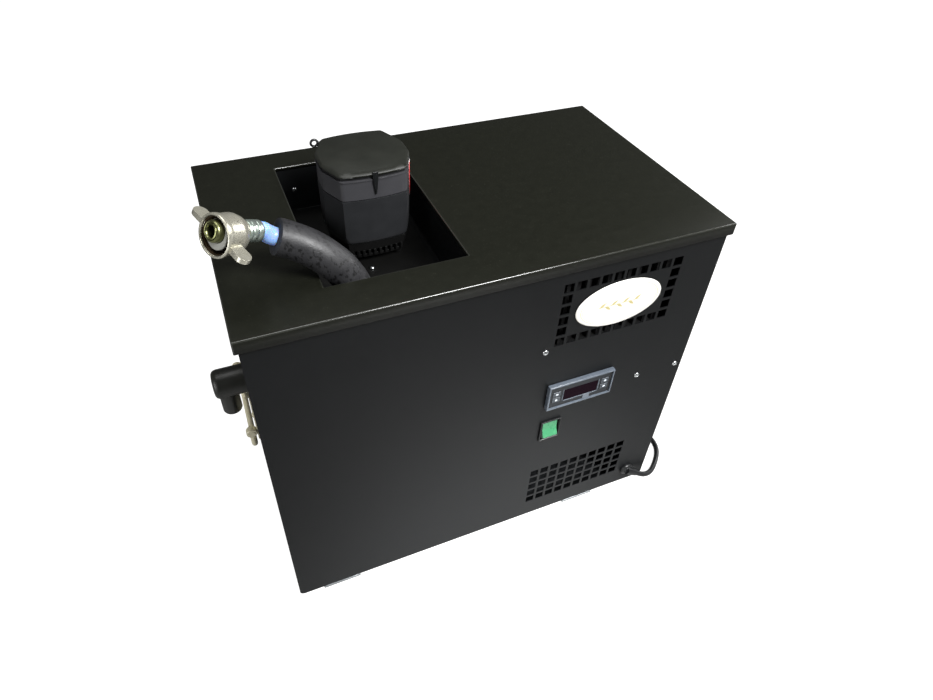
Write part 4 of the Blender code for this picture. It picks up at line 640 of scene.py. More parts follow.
class COOLER_OT_hose(bpy.types.Operator):
    """Leads the insulated product hose out of the recess, with its tube, tail and wing nut"""
    bl_idname = "cooler.hose"
    bl_label = "Product hose"

    def execute(self, context):
        sizes = context.scene.cooler_sizes
        radius = sizes.hose / 2
        route = eased(HOSE_ROUTE, 4 * MM)
        sleeve = curve_piece("hose_foam", route, radius, "foam", "cabinet",
                             ("hose_sleeve",), sides=14)
        end = (route[-1] - route[-2]).normalized()
        cut_end = lathe("hose_foam_end", [
            (7.6, -0.6), (7.9, 0.25), (11, 0.42), (13.9, 0.3), (14.7, -0.3), (14.7, -1.2), (7.6, -1.2),
            (7.6, -0.6)], aimed(end, route[-1]), "foam_cut", (), 60, 40)
        inner = eased(INNER_ROUTE, 1.5 * MM)
        inner = [inner[0] - (inner[1] - inner[0]).normalized() * 1.0 * MM] + inner
        tube = curve_piece("hose_inner", inner, 7.3 * MM, "tube", "cabinet",
                           ("inner_hose",), sides=10)
        crimp, tail, nipple, washer = self.tail(inner[-1])
        nut = self.nut(sizes)
        self.grommet()
        return {"FINISHED"}

    def tail(self, start):
        """Ferrule on the tube, plated neck, brass nipple and grey gasket."""
        tip = start + TAIL_AXIS * TAIL_LENGTH
        lay = aimed(TAIL_AXIS, tip)
        crimp = lathe("tail_ferrule", [
            (7.35, -43.6), (8.1, -43.9), (8.6, -43.1), (8.6, -39.4), (8.2, -38.9), (8.6, -38.4),
            (8.6, -34.2), (8.2, -33.7), (8.6, -33.2), (8.6, -31.4), (8.0, -30.6), (7.35, -30.6),
            (7.35, -43.6)], lay, "crimp", (), 50)
        neck = lathe("tail_neck", [
            (4.6, -42), (7.2, -42), (7.2, -30.8), (8.0, -30.2), (8.3, -29), (8.3, -17), (9.1, -15.6),
            (9.1, -12.5), (8.6, -10.5), (8.0, -9.4), (4.6, -9.4), (4.6, -42)],
            lay, "nickel", ("hose_tail",), 40)
        nipple = lathe("tail_nipple", [
            (4.5, -11), (8.0, -11), (8.25, -9), (8.25, -3.4), (7.9, -2.2), (6.9, -1.5), (6.5, -1.6),
            (6.2, -2.2), (5.9, -1.4), (5.2, -1.1), (4.6, -1.7), (4.5, -3), (4.5, -11)],
            lay, "brass", (), 45)
        # A black disc closes the bore: painted shade
        lathe("tail_bore_shade", [(0, -9.5), (4.6, -9.5), (4.6, -10.5), (0, -10.5)], lay, "bore")
        bm = bmesh.new()
        spun(bm, [(8.5, -8.4), (8.7, -8.9), (11.0, -8.9), (11.3, -8.4), (11.3, -7.4), (11.0, -6.9),
                  (8.8, -6.9), (8.5, -7.4), (8.5, -8.4)])
        bmesh.ops.transform(bm, matrix=lay, verts=bm.verts)
        for vert in bm.verts:
            if (vert.co - tip).cross(TAIL_AXIS).length > 10 * MM:
                vert.co -= NUT_UP * 2.4 * MM
        washer = piece("tail_gasket", bm, "gasket", "cabinet", ("nut_washer",), sharp=45)
        return crimp, neck, nipple, washer

    def nut(self, sizes):
        """Wing nut: threaded cup, cone and two flat round-tipped wings."""
        rim = sizes.nut / 2 / MM
        thread = [(14.3, -1.2)]
        for ridge in range(7):
            top = -2.0 - ridge * 1.9
            thread += [(14.3, top), (13.5, top - 0.75), (13.5, top - 1.0), (14.3, top - 1.75)]
        thread = thread[:-1]
        outer = [(rim - 1.6, 0.0), (rim - 0.5, -0.15), (rim, -0.8), (rim, -3.6), (rim - 0.5, -4.5),
                 (rim - 0.9, -6.0), (rim - 0.9, -15.0), (rim - 1.3, -16.8), (rim - 2.2, -18.6),
                 (rim - 3.0, -20.6), (13.0, -21.6), (12.7, -21.9), (12.4, -21.7), (12.4, -19.4),
                 (13.3, -17.0), (14.2, -16.2)]
        bm = bmesh.new()
        spun(bm, thread[::-1] + outer + [thread[-1]], 64)
        for side in (0, 1):
            self.wing(bm, sizes.wing / MM, sizes.wing_angle + math.pi * side)
        tip_place = (Vector(INNER_ROUTE[-1]) + TAIL_AXIS * TAIL_LENGTH - NUT_AXIS * NUT_SLIDE
                     - NUT_UP * NUT_DROP)
        bmesh.ops.transform(bm, matrix=aimed(NUT_AXIS, tip_place), verts=bm.verts)
        made = piece("nut_and_wings", bm, "nickel", "nut", ("wing_nut",), sharp=50,
                     round_edges=0.5 * MM)
        made.data.materials.append(FINISHES["thread"])
        for face in made.data.polygons:
            out = face.center - tip_place
            out -= NUT_AXIS * out.dot(NUT_AXIS)
            if out.length < 14.4 * MM and face.normal.dot(out) < 0:
                face.material_index = 1
        return made

    def wing(self, bm, reach, angle):
        """A flat wing with a round tip, thinner toward the tip, turned about the nut's axis."""
        tip, middle = 5.6, -7.0
        outline = [(13.6, middle - 5.0), (19.0, middle - 5.2)]
        for step in range(9):
            around = math.radians(-90 + 22.5 * step)
            outline.append((reach - tip + tip * math.cos(around), middle + tip * math.sin(around)))
        outline += [(19.0, middle + 5.2), (13.6, middle + 5.0)]
        verts = drawn(bm, [(x * MM, -2.7 * MM, z * MM) for x, z in outline], (0, 5.4 * MM, 0))
        for vert in verts:
            vert.co.y *= 1.0 - 0.34 * (vert.co.x / MM - 13.6) / (reach - 13.6)
        bmesh.ops.transform(bm, matrix=Matrix.Rotation(angle, 4, "Z"), verts=verts)

    def grommet(self):
        """Soft rubber collar where the hose leaves the bath cover."""
        place = centre_of("hose_grommet")
        place.z = COVER_HIGH.z
        lathe("hose_collar", [(15.1, 2.6), (16.4, 2.7), (18.4, 2.1), (19.2, 1.0), (19.2, 0.1), (17.6, 0.1),
                              (17.6, -2.8), (15.1, -2.8), (15.1, 2.6)], Matrix.Translation(place),
              "clip", ("hose_grommet",))


class COOLER_OT_cabinet(bpy.types.Operator):
    """Folds the lid, coats the panels and lays the foot rails"""
    bl_idname = "cooler.cabinet"
    bl_label = "Cabinet"

    def execute(self, context):
        sizes = context.scene.cooler_sizes
        self.lid(sizes)
        self.recess(sizes)
        for name in ("foot_rail_left", "foot_rail_right"):
            self.rail(name)
        self.panel("left_panel", -1, sizes)
        self.panel("right_panel", 1, sizes)
        # The galvanised base tray takes the black coat too: painted shade behind the lower grille
        dress("coat", "front_panel", "rear_panel", "base_tray")
        return {"FINISHED"}

    def lid(self, sizes):
        """One sheet, folded down all round and turned down into the recess."""
        bm = bmesh.new()
        block(bm, LID_LOW, LID_HIGH)
        bmesh.ops.delete(bm, geom=facing(bm, 2, -1), context="FACES")
        inset = Vector((sizes.sheet, sizes.sheet, 0))
        low, high = COLLAR_LOW + inset, COLLAR_HIGH - inset
        for place, normal in ((low, (1, 0, 0)), (high, (1, 0, 0)), (low, (0, 1, 0)), (high, (0, 1, 0))):
            whole = bm.verts[:] + bm.edges[:] + bm.faces[:]
            bmesh.ops.bisect_plane(bm, geom=whole, plane_co=place, plane_no=normal)
        hole = [face for face in facing(bm, 2, 1) if low.x < face.calc_center_median().x < high.x
                and low.y < face.calc_center_median().y < high.y]
        bmesh.ops.delete(bm, geom=hole, context="FACES")
        rim = [edge for edge in bm.edges if edge.is_boundary
               and all(vert.co.z > LID_HIGH.z - 0.1 * MM for vert in edge.verts)]
        turned_down = verts_in(bmesh.ops.extrude_edge_only(bm, edges=rim)["geom"])
        bmesh.ops.translate(bm, vec=(0, 0, -3.5 * MM), verts=turned_down)
        # The rounded folds take the paler fold finish: a painted highlight
        rounded(bm, folds_over(bm, 60), sizes.fold / MM, 4, material=1)
        made = piece("lid_sheet", bm, "lid", "cabinet", ("lid",), sharp=50, wall=sizes.sheet)
        made.data.materials.append(FINISHES["edge"])

    def recess(self, sizes):
        """Four coated walls with a narrow foot flange, the cover and its small screws."""
        wall = sizes.sheet
        low = COLLAR_LOW + Vector((wall * 0.2, wall * 0.2, 0))
        high = COLLAR_HIGH - Vector((wall * 0.2, wall * 0.2, 0.2 * MM))
        bm = bmesh.new()
        block(bm, low, high)
        bmesh.ops.delete(bm, geom=facing(bm, 2, 1) + facing(bm, 2, -1), context="FACES")
        bmesh.ops.reverse_faces(bm, faces=bm.faces)
        foot = [edge for edge in bm.edges if all(vert.co.z < low.z + 0.1 * MM for vert in edge.verts)]
        centre = (low + high) / 2
        for vert in verts_in(bmesh.ops.extrude_edge_only(bm, edges=foot)["geom"]):
            vert.co.x -= math.copysign(5 * MM, vert.co.x - centre.x)
            vert.co.y -= math.copysign(5 * MM, vert.co.y - centre.y)
        folds = [edge for edge in bm.edges if len(edge.link_faces) == 2
                 and abs(edge.verts[0].co.z - edge.verts[1].co.z) < 0.1 * MM]
        rounded(bm, folds, 1.2)
        piece("recess_walls", bm, "coat", "cabinet", ("recess_collar",), sharp=50)
        dress("cover", "bath_cover")
        bm = bmesh.new()
        head = [(0, 2.0), (1.2, 1.95), (2.3, 1.5), (2.9, 0.7), (3.0, 0), (0, 0)]
        for x, y in ((94.5, 207), (86, 70), (196, 60), (195, 232), (139, 117.5)):
            bmesh.ops.translate(bm, vec=at(x, y, 344.3), verts=spun(bm, head, 20))
        on_wall = spun(bm, head, 20)
        bmesh.ops.transform(bm, matrix=aimed((0, -1, 0), at(94, 242.6, 368.5)), verts=on_wall)
        piece("recess_screws", bm, "screw", "cabinet")

    def rail(self, node):
        """A folded channel that the cabinet stands on, sunk along its top, its edges rounded."""
        low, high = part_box(node)
        bm = bmesh.new()
        block(bm, low, high)
        upper = facing(bm, 2, 1)
        bmesh.ops.inset_region(bm, faces=upper, thickness=3.0 * MM, depth=0.0)
        bmesh.ops.translate(bm, vec=(0, 0, -1.6 * MM), verts=upper[0].verts)
        rounded(bm, folds_over(bm, 40), 0.8)
        piece(f"{node}_channel", bm, "zinc", "cabinet", (node,))

    def panel(self, node, side, sizes):
        """A side panel of one sheet with its edges folded in."""
        low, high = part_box(node)
        bm = bmesh.new()
        block(bm, low, high)
        bmesh.ops.delete(bm, geom=facing(bm, 0, -side), context="FACES")
        rounded(bm, folds_over(bm, 1), 1.2)
        piece(f"{node}_sheet", bm, "coat", "cabinet", (node,), sharp=50, wall=sizes.sheet)


def housing(scale):
    """Outline of the agitator's housing about its middle: eight sides, front and back bowed."""
    half_x, half_y, face_x, face_y, bow = 41.0, 39.5, 30.0, 11.0, 3.0
    points = [(half_x, face_y), (face_x, half_y - bow)]
    points += [(face_x * share, half_y - bow * share ** 2) for share in (0.8, 0.6, 0.4, 0.2, 0.0)]
    points += [(-face_x * share, half_y - bow * share ** 2) for share in (0.2, 0.4, 0.6, 0.8, 1.0)]
    points.append((-half_x, face_y))
    points += [(-x, -y) for x, y in points]
    return [(x * scale * MM, y * scale * MM) for x, y in points]


class COOLER_OT_agitator(bpy.types.Operator):
    """Stacks the agitator's housing: ribbed foot, body, grey band, cap and clip"""
    bl_idname = "cooler.agitator"
    bl_label = "Agitator"

    def shell(self, name, kind, slot, node, stages, corner, rounding):
        """A closed housing stage: (scale, height) pairs from the bottom up, corners rounded."""
        bm = bmesh.new()
        scale, height = stages[0]
        top_face = bm.faces.new([bm.verts.new((x, y, height * MM)) for x, y in housing(scale)])
        for next_scale, next_height in stages[1:]:
            raised = bmesh.ops.extrude_face_region(bm, geom=[top_face])["geom"]
            top_face = next(item for item in raised if isinstance(item, bmesh.types.BMFace))
            for vert in verts_in(raised):
                vert.co.x *= next_scale / scale
                vert.co.y *= next_scale / scale
                vert.co.z = next_height * MM
            scale = next_scale
        uprights = [edge for edge in folds_over(bm, 20)
                    if abs(edge.verts[0].co.z - edge.verts[1].co.z) > 0.2 * MM]
        rounded(bm, uprights, corner, 4)
        bmesh.ops.translate(bm, vec=self.middle, verts=bm.verts)
        piece(name, bm, kind, "cabinet", node, sharp=32, round_edges=rounding * MM)

    def execute(self, context):
        low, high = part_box("agitator_cap")
        self.middle = Vector(((low.x + high.x) / 2, (low.y + high.y) / 2, 0))
        foot, body, band = (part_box(f"agitator_{name}")[0].z / MM for name in ("base", "body", "band"))
        cap = low.z / MM
        top = high.z / MM
        self.shell("motor_body", "motor", "black_plastic", ("agitator_body",),
                   [(0.93, body), (0.965, body + 2.2), (0.985, body + 6), (1.0, band - 0.6)], 3.0, 0.6)
        self.shell("motor_band", "band", "grey_plastic", ("agitator_band",),
                   [(0.985, band), (1.0, band + 0.4), (0.995, cap - 3.2), (1.012, cap - 2.8),
                    (1.012, cap - 1.6)],
                   2.6, 0.35)
        # A near-black core set back between band and cap: painted shade in the seam
        self.shell("motor_seam_shade", "slot", "black_plastic", (), [(0.955, cap - 2.0), (0.955, cap + 2.2)],
                   2.0, 0.1)
        self.shell("motor_cap", "motor_top", "black_plastic", ("agitator_cap",),
                   [(0.99, cap + 1.7), (1.012, cap + 2.1), (1.012, cap + 3.2), (0.965, top - 0.4),
                    (0.94, top)], 2.4, 0.4)
        self.foot(foot, body)
        self.clip(cap, top)
        self.label(band, cap)
        dress("copper", "agitator_stator")
        dress("screw", "agitator_rotor")
        dress("tank", "agitator_impeller")
        return {"FINISHED"}

    def foot(self, low, high):
        """Stepped foot with upright ribs and four stub feet."""
        bm = bmesh.new()
        plate = low + 6.7
        prism(bm, housing(0.9), (plate + 8.5) * MM, (high - 0.4) * MM, 1.02)
        prism(bm, housing(0.8), (plate + 3.2) * MM, (plate + 8.7) * MM, 1.0)
        prism(bm, housing(0.86), plate * MM, (plate + 3.4) * MM, 1.01)
        outline = housing(0.84)
        for (ax, ay), (bx, by) in zip(outline, outline[1:] + outline[:1]):
            spot = Vector(((ax + bx) / 2, (ay + by) / 2, 0))
            rib = block(bm, (-1.2 * MM, -3.2 * MM, (plate + 3) * MM),
                        (1.2 * MM, 3.2 * MM, (plate + 9) * MM))
            turn = Matrix.Rotation(math.atan2(spot.y, spot.x) - math.pi / 2, 4, "Z")
            bmesh.ops.transform(bm, matrix=Matrix.Translation(spot) @ turn, verts=rib)
        for side_x in (-1, 1):
            for side_y in (-1, 1):
                stub = spun(bm, [(0, low), (4.2, low), (4.9, low + 0.6), (4.9, plate - 1), (6, plate + 0.4),
                                 (0, plate + 0.4)], 24)
                bmesh.ops.translate(bm, vec=(side_x * 22.8 * MM, side_y * 23.7 * MM, 0), verts=stub)
        bmesh.ops.translate(bm, vec=self.middle, verts=bm.verts)
        piece("motor_foot", bm, "foot", "cabinet", ("agitator_base",), sharp=35,
              round_edges=0.35 * MM)

    def clip(self, cap, top):
        """Pointed spring tongue down the front, and the small eye at the back left."""
        bm = bmesh.new()
        outline = [(2.3, 0.6), (2.6, -1.5), (2.3, -7), (1.5, -14), (0.5, -21), (-0.5, -21), (-1.5, -14),
                   (-2.3, -7), (-2.6, -1.5), (-2.3, 0.6)]
        drawn(bm, [(x * MM, 0, z * MM) for x, z in outline], (0, -1.7 * MM, 0))
        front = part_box("agitator_cap")[0].y
        bmesh.ops.translate(bm, vec=(self.middle.x, front - 0.15 * MM, (top - 0.8) * MM), verts=bm.verts)
        piece("motor_clip", bm, "clip", "cabinet", ("cap_clip",), round_edges=0.4 * MM)
        bm = bmesh.new()
        circle = bmesh.ops.create_circle(bm, segments=12, radius=1.15 * MM)["verts"]
        bmesh.ops.rotate(bm, verts=circle, matrix=Matrix.Rotation(math.radians(90), 3, "X"))
        bmesh.ops.translate(bm, vec=(3.2 * MM, 0, 0), verts=circle)
        bmesh.ops.spin(bm, geom=circle + bm.edges[:], cent=(0, 0, 0), axis=(0, 0, 1), angle=2 * math.pi,
                       steps=28, use_merge=True)
        bmesh.ops.remove_doubles(bm, verts=bm.verts, dist=0.00001)
        neck = spun(bm, [(0, 3.0), (1.2, 3.0), (1.2, 10.0), (0, 10.0)], 16)
        bmesh.ops.transform(bm, matrix=Matrix.Rotation(math.radians(80), 4, "Y"), verts=neck)
        place = centre_of("cap_eyelet") + Vector((2.0 * MM, 0, 0))
        upright = Matrix.Rotation(math.radians(90), 4, "X")
        bmesh.ops.transform(bm, matrix=Matrix.Translation(place) @ upright, verts=bm.verts)
        piece("motor_eye", bm, "clip", "cabinet", ("cap_eyelet",))

    def label(self, band, cap):
        """Plain two-colour label on the right side."""
        side = [Vector((41.35, 4.0)), Vector((41.35, -11.1)), Vector((38.6, -17.4))]
        for name, kind, low, high in (("white", "sticker", band - 17, cap - 3),
                                      ("red", "sticker_red", band - 15.5, cap - 5.5)):
            bm = bmesh.new()
            out = 0.0 if name == "white" else 0.12
            rows = [[bm.verts.new(self.middle + Vector(((x + out) * MM, y * MM, height * MM)))
                     for x, y in side] for height in (low, high)]
            for corner in (0, 1):
                bm.faces.new((rows[0][corner], rows[0][corner + 1], rows[1][corner + 1], rows[1][corner]))
            piece(f"motor_label_{name}", bm, kind, "cabinet", wall=0.1 * MM)


class COOLER_OT_controls(bpy.types.Operator):
    """Sets the controller, the rocker, the badge and the screws on the front"""
    bl_idname = "cooler.controls"
    bl_label = "Front controls"

    def execute(self, context):
        self.controller()
        self.rocker()
        self.badge()
        self.screws()
        return {"FINISHED"}

    def controller(self):
        """Bezel with a sunk face, smoked window, ledge, tab and four marked keys."""
        low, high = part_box("controller_case")
        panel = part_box("front_panel")[0].y
        bm = bmesh.new()
        block(bm, low, (high.x, panel - 0.2 * MM, high.z))
        face = facing(bm, 1, -1)
        bmesh.ops.inset_region(bm, faces=face, thickness=2.5 * MM, depth=0.0)
        bmesh.ops.inset_region(bm, faces=face, thickness=0.35 * MM, depth=-3.6 * MM)
        rim = [edge for edge in bm.edges if edge.calc_face_angle(0) > math.radians(60)
               and all(vert.co.x < low.x + 0.1 * MM or vert.co.x > high.x - 0.1 * MM
                       or vert.co.z < low.z + 0.1 * MM or vert.co.z > high.z - 0.1 * MM
                       for vert in edge.verts)]
        rounded(bm, rim, 0.7, 4)
        block(bm, (low.x + 3.4 * MM, panel - 1 * MM, low.z + 3.4 * MM),
              (high.x - 3.4 * MM, high.y, high.z - 3.4 * MM))
        piece("controller_bezel", bm, "bezel", "cabinet", ("controller_case",), sharp=40)
        sunk = low.y + 1.3 * MM

        def bar(bm, left, right, bottom, top, proud, behind=0.2):
            """A block on the sunk face, sized in millimetres."""
            block(bm, (left * MM, sunk - proud * MM, bottom * MM),
                  (right * MM, sunk + behind * MM, top * MM))

        left, right, bottom, top = low.x / MM, high.x / MM, low.z / MM, high.z / MM
        screen_low, screen_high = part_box("controller_display")
        x0, x1 = screen_low.x / MM, screen_high.x / MM
        z0, z1 = screen_low.z / MM, screen_high.z / MM
        bm = bmesh.new()
        bar(bm, x0, x1, z0, z1, 0.25, 0.3)
        piece("controller_window", bm, "window", "cabinet", ("controller_display",),
              round_edges=0.2 * MM)
        keys = {name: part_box(f"key_{name}") for name in ("set", "defrost", "up", "down")}
        gap = Vector((0.25 * MM, 0, -0.05 * MM))
        openings = [(screen_low, screen_high)]
        openings += [(key_low - gap, key_high + gap) for key_low, key_high in keys.values()]
        bm = bmesh.new()
        pierced(bm, (low.x + 2.85 * MM, sunk, low.z + 2.85 * MM),
                (high.x - 2.85 * MM, sunk + 1.8 * MM, high.z - 2.85 * MM), openings)
        piece("controller_face", bm, "face", "cabinet")
        bm = bmesh.new()
        ledge = z0 - 0.5
        bar(bm, x0, x1 + 1, ledge - 0.9, ledge, 0.5)
        middle = (x0 + x1) / 2
        bar(bm, middle + 4, middle + 12, bottom + 2.9, ledge - 0.5, 0.6)
        bar(bm, x0 - 1.5, x0 - 0.7, z0, z1 + 1, 0.45)
        bar(bm, x1 + 0.7, x1 + 1.5, z0, z1 + 1, 0.45)
        piece("controller_ledge", bm, "bezel", "cabinet", round_edges=0.2 * MM)
        # Thin near-black strips on the face beside and under the keys: painted shade of the gaps
        bm = bmesh.new()
        bar(bm, right - 4.9, right - 3.1, bottom + 3.2, top - 3.2, 0.08, 0.1)
        bar(bm, left + 3.1, right - 6, bottom + 3.0, bottom + 4.3, 0.08, 0.1)
        piece("controller_gap_shade", bm, "slot", "cabinet")
        for name, (key_low, key_high) in keys.items():
            bm = bmesh.new()
            block(bm, (key_low.x, sunk - 0.6 * MM, key_low.z + 0.3 * MM),
                  (key_high.x, key_high.y, key_high.z - 0.3 * MM))
            piece(f"key_{name}_cap", bm, "key", f"key_{name}_body", (f"key_{name}",),
                  round_edges=0.7 * MM)
            bm = bmesh.new()
            centre = (key_low + key_high) / 2
            centre.y = sunk - 0.6 * MM
            spun(bm, [(0, 0.3), (1.1, 0.25), (1.5, 0), (0, 0)], 24)
            bmesh.ops.transform(bm, matrix=aimed((0, -1, 0), centre), verts=bm.verts)
            piece(f"key_{name}_mark", bm, "key_dot", f"key_{name}_body")

    def rocker(self):
        """Black frame and a dished green paddle that stands out at the bottom."""
        low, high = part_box("rocker_frame")
        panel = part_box("front_panel")[0].y
        bm = bmesh.new()
        block(bm, low, (high.x, panel - 0.2 * MM, high.z))
        face, back = facing(bm, 1, -1), facing(bm, 1, 1)
        bmesh.ops.inset_region(bm, faces=face, thickness=1.6 * MM, depth=0.4 * MM)
        bmesh.ops.inset_region(bm, faces=face, thickness=1.0 * MM, depth=-0.8 * MM)
        bmesh.ops.inset_region(bm, faces=back, thickness=2.6 * MM, depth=0.0)
        bmesh.ops.delete(bm, geom=face + back, context="FACES")
        holes = [edge for edge in bm.edges if edge.is_boundary]
        bmesh.ops.bridge_loops(bm, edges=holes)
        piece("rocker_bezel", bm, "switch", "cabinet", round_edges=0.35 * MM)
        bm = bmesh.new()
        block(bm, (low.x + 1.8 * MM, panel + 0.1 * MM, low.z + 1.8 * MM),
              (high.x - 1.8 * MM, high.y, high.z - 1.8 * MM))
        face = facing(bm, 1, -1)
        bmesh.ops.inset_region(bm, faces=face, thickness=1.2 * MM, depth=0.0)
        bmesh.ops.inset_region(bm, faces=face, thickness=0.05 * MM, depth=-12.5 * MM)
        piece("rocker_housing", bm, "switch", "cabinet", ("rocker_frame",))
        paddle_low, paddle_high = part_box("rocker_paddle")
        half = 11.4
        outline = [(half, -2.0), (half - 0.7, -2.4), (half * 0.6, -1.9), (2.0, -1.5), (0, -1.5),
                   (-2.0, -1.9),
                   (-half * 0.5, -3.0), (-half + 3.2, -3.7), (-half + 2.0, -3.6), (-half + 1.0, -2.6),
                   (-half, 0.4), (-half, 4), (-4, 7), (4, 7), (half, 4)]
        bm = bmesh.new()
        turn = Matrix.Rotation(math.radians(-9), 4, "X")
        width = paddle_high.x - paddle_low.x - 0.3 * MM
        drawn(bm, [(0, y * MM, z * MM) for z, y in outline], (width, 0, 0))
        bmesh.ops.translate(bm, vec=(-width / 2, 0, 0), verts=bm.verts)
        centre = Vector(((paddle_low.x + paddle_high.x) / 2, panel + 0.5 * MM, (low.z + high.z) / 2))
        bmesh.ops.transform(bm, matrix=Matrix.Translation(centre) @ turn, verts=bm.verts)
        made = piece("rocker_lens", bm, "lens", "rocker", ("rocker_paddle",),
                     round_edges=0.5 * MM)
        # Faces turned sideways or downward take the darker green: painted shade by facing
        made.data.materials.append(FINISHES["lens_side"])
        for side in made.data.polygons:
            if abs(side.normal.x) > 0.9 or side.normal.z < -0.35:
                side.material_index = 1

    def badge(self):
        """Domed oval with a thin gold border and a plain gold sprig."""
        low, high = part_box("badge")
        centre = (low + high) / 2
        across, up = (high.x - low.x) / 2, (high.z - low.z) / 2
        bm = bmesh.new()
        spun(bm, [(0, 1.0), (600, 0.96), (900, 0.8), (965, 0.55), (993, 0.1), (1000, -0.5), (990, -0.9),
                  (0, -0.95)], 96)
        for vert in bm.verts:
            x, y, z = vert.co
            vert.co = (x * across, y * up, z)
        bmesh.ops.transform(bm, matrix=aimed((0, -1, 0), centre), verts=bm.verts)
        piece("badge_plate", bm, "badge", "cabinet", ("badge",), sharp=50)
        bm = bmesh.new()
        self.oval(bm, across * 0.90, up * 0.86, 0.45, 0.75)
        self.oval(bm, across * 0.86, up * 0.80, 0.25, 0.8)
        for index in range(-3, 4):
            x, y = index * 6.4, 2.2 if index % 2 else -2.2
            angle = 38 if index % 2 else -38
            leaf = bmesh.ops.create_circle(bm, cap_ends=True, segments=20, radius=1 * MM)["verts"]
            bmesh.ops.scale(bm, vec=(4.6, 1.5, 1), verts=leaf)
            for vert in leaf:
                vert.co.y *= 1 - 0.55 * abs(vert.co.x) / (4.6 * MM)
            bmesh.ops.rotate(bm, verts=leaf, matrix=Matrix.Rotation(math.radians(angle), 3, "Z"))
            bmesh.ops.translate(bm, vec=(x * MM, y * MM, 1.08 * MM), verts=leaf)
        block(bm, (-24 * MM, -0.25 * MM, 0.95 * MM), (24 * MM, 0.25 * MM, 1.06 * MM))
        bmesh.ops.transform(bm, matrix=aimed((0, -1, 0), centre), verts=bm.verts)
        piece("badge_gold", bm, "gold", "cabinet")

    def oval(self, bm, across, up, width, height):
        """A thin raised oval line."""
        profile = [(1000 - width, height), (1000, height + 0.12), (1000 + width, height),
                   (1000 - width, height)]
        for vert in spun(bm, profile, 96):
            x, y, z = vert.co
            length = math.hypot(x, y)
            offset = length - 1.0
            vert.co = (x / length * (across + offset), y / length * (up + offset), z)

    def screws(self):
        """Pan heads; the cross recess is drawn as a round dimple."""
        for name in ("left", "middle", "right"):
            centre = centre_of(f"panel_screw_{name}")
            centre.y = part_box("front_panel")[0].y
            lathe(f"front_screw_{name}", [
                (0, 1.3), (0.5, 1.35), (0.9, 2.15), (1.8, 2.0), (2.7, 1.5), (3.15, 0.8), (3.25, 0.15),
                (0, 0.15)], aimed((0, -1, 0), centre), "screw", (f"panel_screw_{name}",), 45, 32)


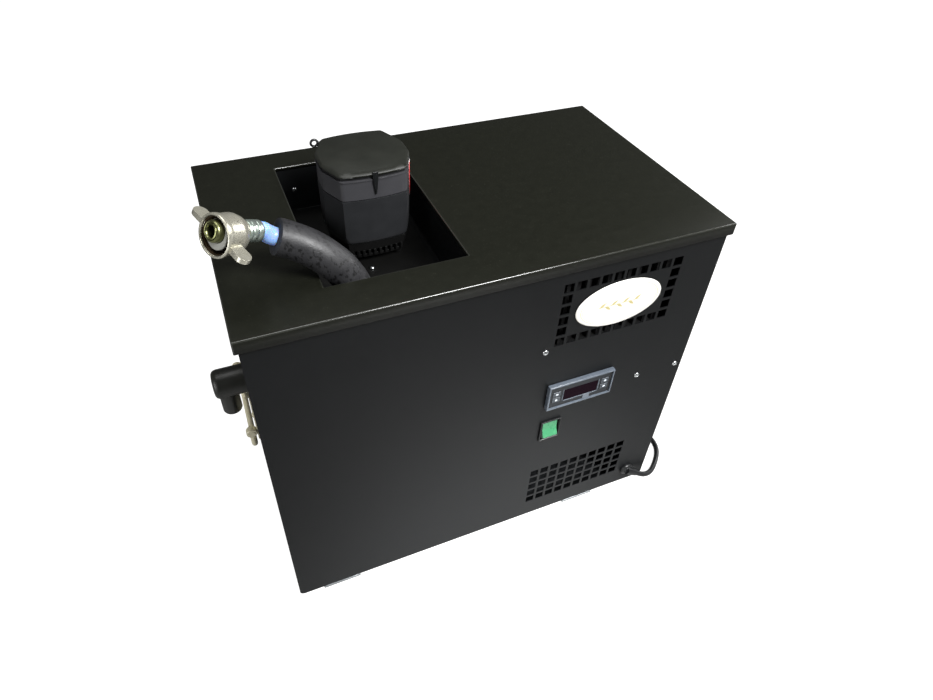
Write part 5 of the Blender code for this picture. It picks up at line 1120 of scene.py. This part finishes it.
class COOLER_OT_sides(bpy.types.Operator):
    """Fits the overflow elbow and the folding handles"""
    bl_idname = "cooler.sides"
    bl_label = "Side fittings"

    def execute(self, context):
        self.elbow()
        for name, side in (("left", -1), ("right", 1)):
            self.handle(name, side)
        return {"FINISHED"}

    def elbow(self):
        """Round-ended overflow body with a spigot turned down."""
        low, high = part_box("overflow_elbow")
        radius = 14.3
        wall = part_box("left_panel")[0].x
        centre = Vector((wall - 0.3 * MM, (low.y + high.y) / 2, high.z - radius * MM))
        reach = (wall - low.x) / MM - 0.3
        lathe("overflow_body", [
            (0, reach), (radius - 6, reach - 0.1), (radius - 3.4, reach - 0.5), (radius - 1.5, reach - 1.6),
            (radius - 0.4, reach - 3.4), (radius, reach - 5.4), (radius, 0), (10, 0), (10, -8), (0, -8)],
            aimed((-1, 0, 0), centre), "elbow", ("overflow_elbow",), 40, 64)
        tip = (high.z - low.z) / MM - radius
        lathe("overflow_spigot", [
            (9.2, -radius * 0.5), (9.2, -tip + 1.4), (8.8, -tip + 0.4), (8.2, -tip), (6.5, -tip),
            (6.5, -radius * 0.5), (9.2, -radius * 0.5)],
            Matrix.Translation(centre + Vector((-reach * 0.6 * MM, 0, 0))), "elbow",
            (), 40)

    def handle(self, name, side):
        """Pressed plate with lugs, four rivets, and a round-cornered bail."""
        low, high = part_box(f"handle_plate_{name}")
        bail_low, bail_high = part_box(f"handle_bail_{name}")
        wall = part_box(f"{name}_panel")[0 if side < 0 else 1].x
        inner, outer = wall + side * 0.3 * MM, wall + side * 2.5 * MM
        middle = (low + high) / 2
        pivot = Vector(((bail_low.x + bail_high.x) / 2, middle.y, bail_high.z - 2.6 * MM))
        bm = bmesh.new()
        block(bm, (min(inner, outer), low.y + 1.6 * MM, low.z),
              (max(inner, outer), high.y - 1.6 * MM, high.z))
        corners = [edge for edge in bm.edges if abs(edge.verts[0].co.x - edge.verts[1].co.x) > 1 * MM]
        rounded(bm, corners, 9, 6)
        for end in (-1, 1):
            lug = spun(bm, [(2.65, -3.4), (5.0, -3.4), (5.5, -2.9), (5.5, 2.9), (5.0, 3.4), (2.65, 3.4),
                            (2.65, -3.4)], 32)
            place = pivot + Vector((0, end * 48.3 * MM, 0))
            bmesh.ops.transform(bm, matrix=aimed((0, 1, 0), place), verts=lug)
            for rise in (-6, 24):
                rivet = spun(bm, [(0, 1.5), (1.6, 1.3), (2.8, 0.6), (3.1, 0), (0, 0)], 20)
                spot = Vector((outer, middle.y + end * 34 * MM, middle.z + rise * MM))
                bmesh.ops.transform(bm, matrix=aimed((side, 0, 0), spot), verts=rivet)
        piece(f"handle_{name}_plate", bm, "plated", "cabinet", (f"handle_plate_{name}",),
              sharp=40, round_edges=0.4 * MM)
        half, drop, corner = 41.0, 34.0, 11.0
        points = [Vector((0, -52.0, 0)), Vector((0, -45.2, 0)), Vector((0, -42.4, -1.0)),
                  Vector((0, -half, -3.8))]
        for step in range(7):
            angle = math.radians(90 * step / 6)
            points.append(Vector((0, -half + corner - corner * math.cos(angle),
                                  -drop + corner - corner * math.sin(angle))))
        points += [Vector((0, -p.y, p.z)) for p in reversed(points)]
        curve_piece(f"handle_{name}_bail", [pivot + p * MM for p in points], 3.1 * MM, "plated",
                    f"bail_{name}", (f"handle_bail_{name}",), sides=6)


class COOLER_OT_machine(bpy.types.Operator):
    """Finishes the pieces of the bath and of the refrigeration unit"""
    bl_idname = "cooler.machine"
    bl_label = "Inside"

    def execute(self, context):
        dress("polyurethane", "bath_insulation")
        dress("tank", "bath_tank")
        dress("stainless", "product_coil")
        dress("copper", "evaporator_coil", "filter_drier", "liquid_line", "suction_line")
        dress("enamel", "compressor", "fan_motor")
        dress("zinc", "compressor_mount")
        # The condenser's near-black fins are painted shade behind the grille
        dress("shaded_fins", "condenser")
        dress("clip", "fan_shroud", "fan_blades")
        return {"FINISHED"}


class COOLER_PT_pieces(bpy.types.Panel):
    """Sizes, colours and pieces of the beverage cooler"""
    bl_idname = "COOLER_PT_pieces"
    bl_label = "Beverage cooler"
    bl_space_type = "VIEW_3D"
    bl_region_type = "UI"
    bl_category = "Cooler"

    def draw(self, context):
        layout = self.layout
        for group in (context.scene.cooler_sizes, context.scene.cooler_colours):
            for name in group.__annotations__:
                layout.prop(group, name)
        for step in OPERATORS:
            layout.operator(step.bl_idname)


OPERATORS = (
    COOLER_OT_stage, COOLER_OT_lead, COOLER_OT_hose, COOLER_OT_cabinet, COOLER_OT_agitator,
    COOLER_OT_controls, COOLER_OT_sides, COOLER_OT_machine,
)
CLASSES = (CoolerSizes, CoolerColours, *OPERATORS, COOLER_PT_pieces)


def register():
    for item in CLASSES:
        bpy.utils.register_class(item)
    bpy.types.Scene.cooler_sizes = PointerProperty(type=CoolerSizes)
    bpy.types.Scene.cooler_colours = PointerProperty(type=CoolerColours)


def unregister():
    del bpy.types.Scene.cooler_colours
    del bpy.types.Scene.cooler_sizes
    for item in reversed(CLASSES):
        bpy.utils.unregister_class(item)


def main():
    register()
    make_finishes(bpy.context.scene.cooler_colours)
    bpy.ops.cooler.stage()
    bpy.ops.cooler.lead()
    bpy.ops.cooler.hose()
    bpy.ops.cooler.cabinet()
    bpy.ops.cooler.agitator()
    bpy.ops.cooler.controls()
    bpy.ops.cooler.sides()
    bpy.ops.cooler.machine()


if __name__ == "__main__":
    main()
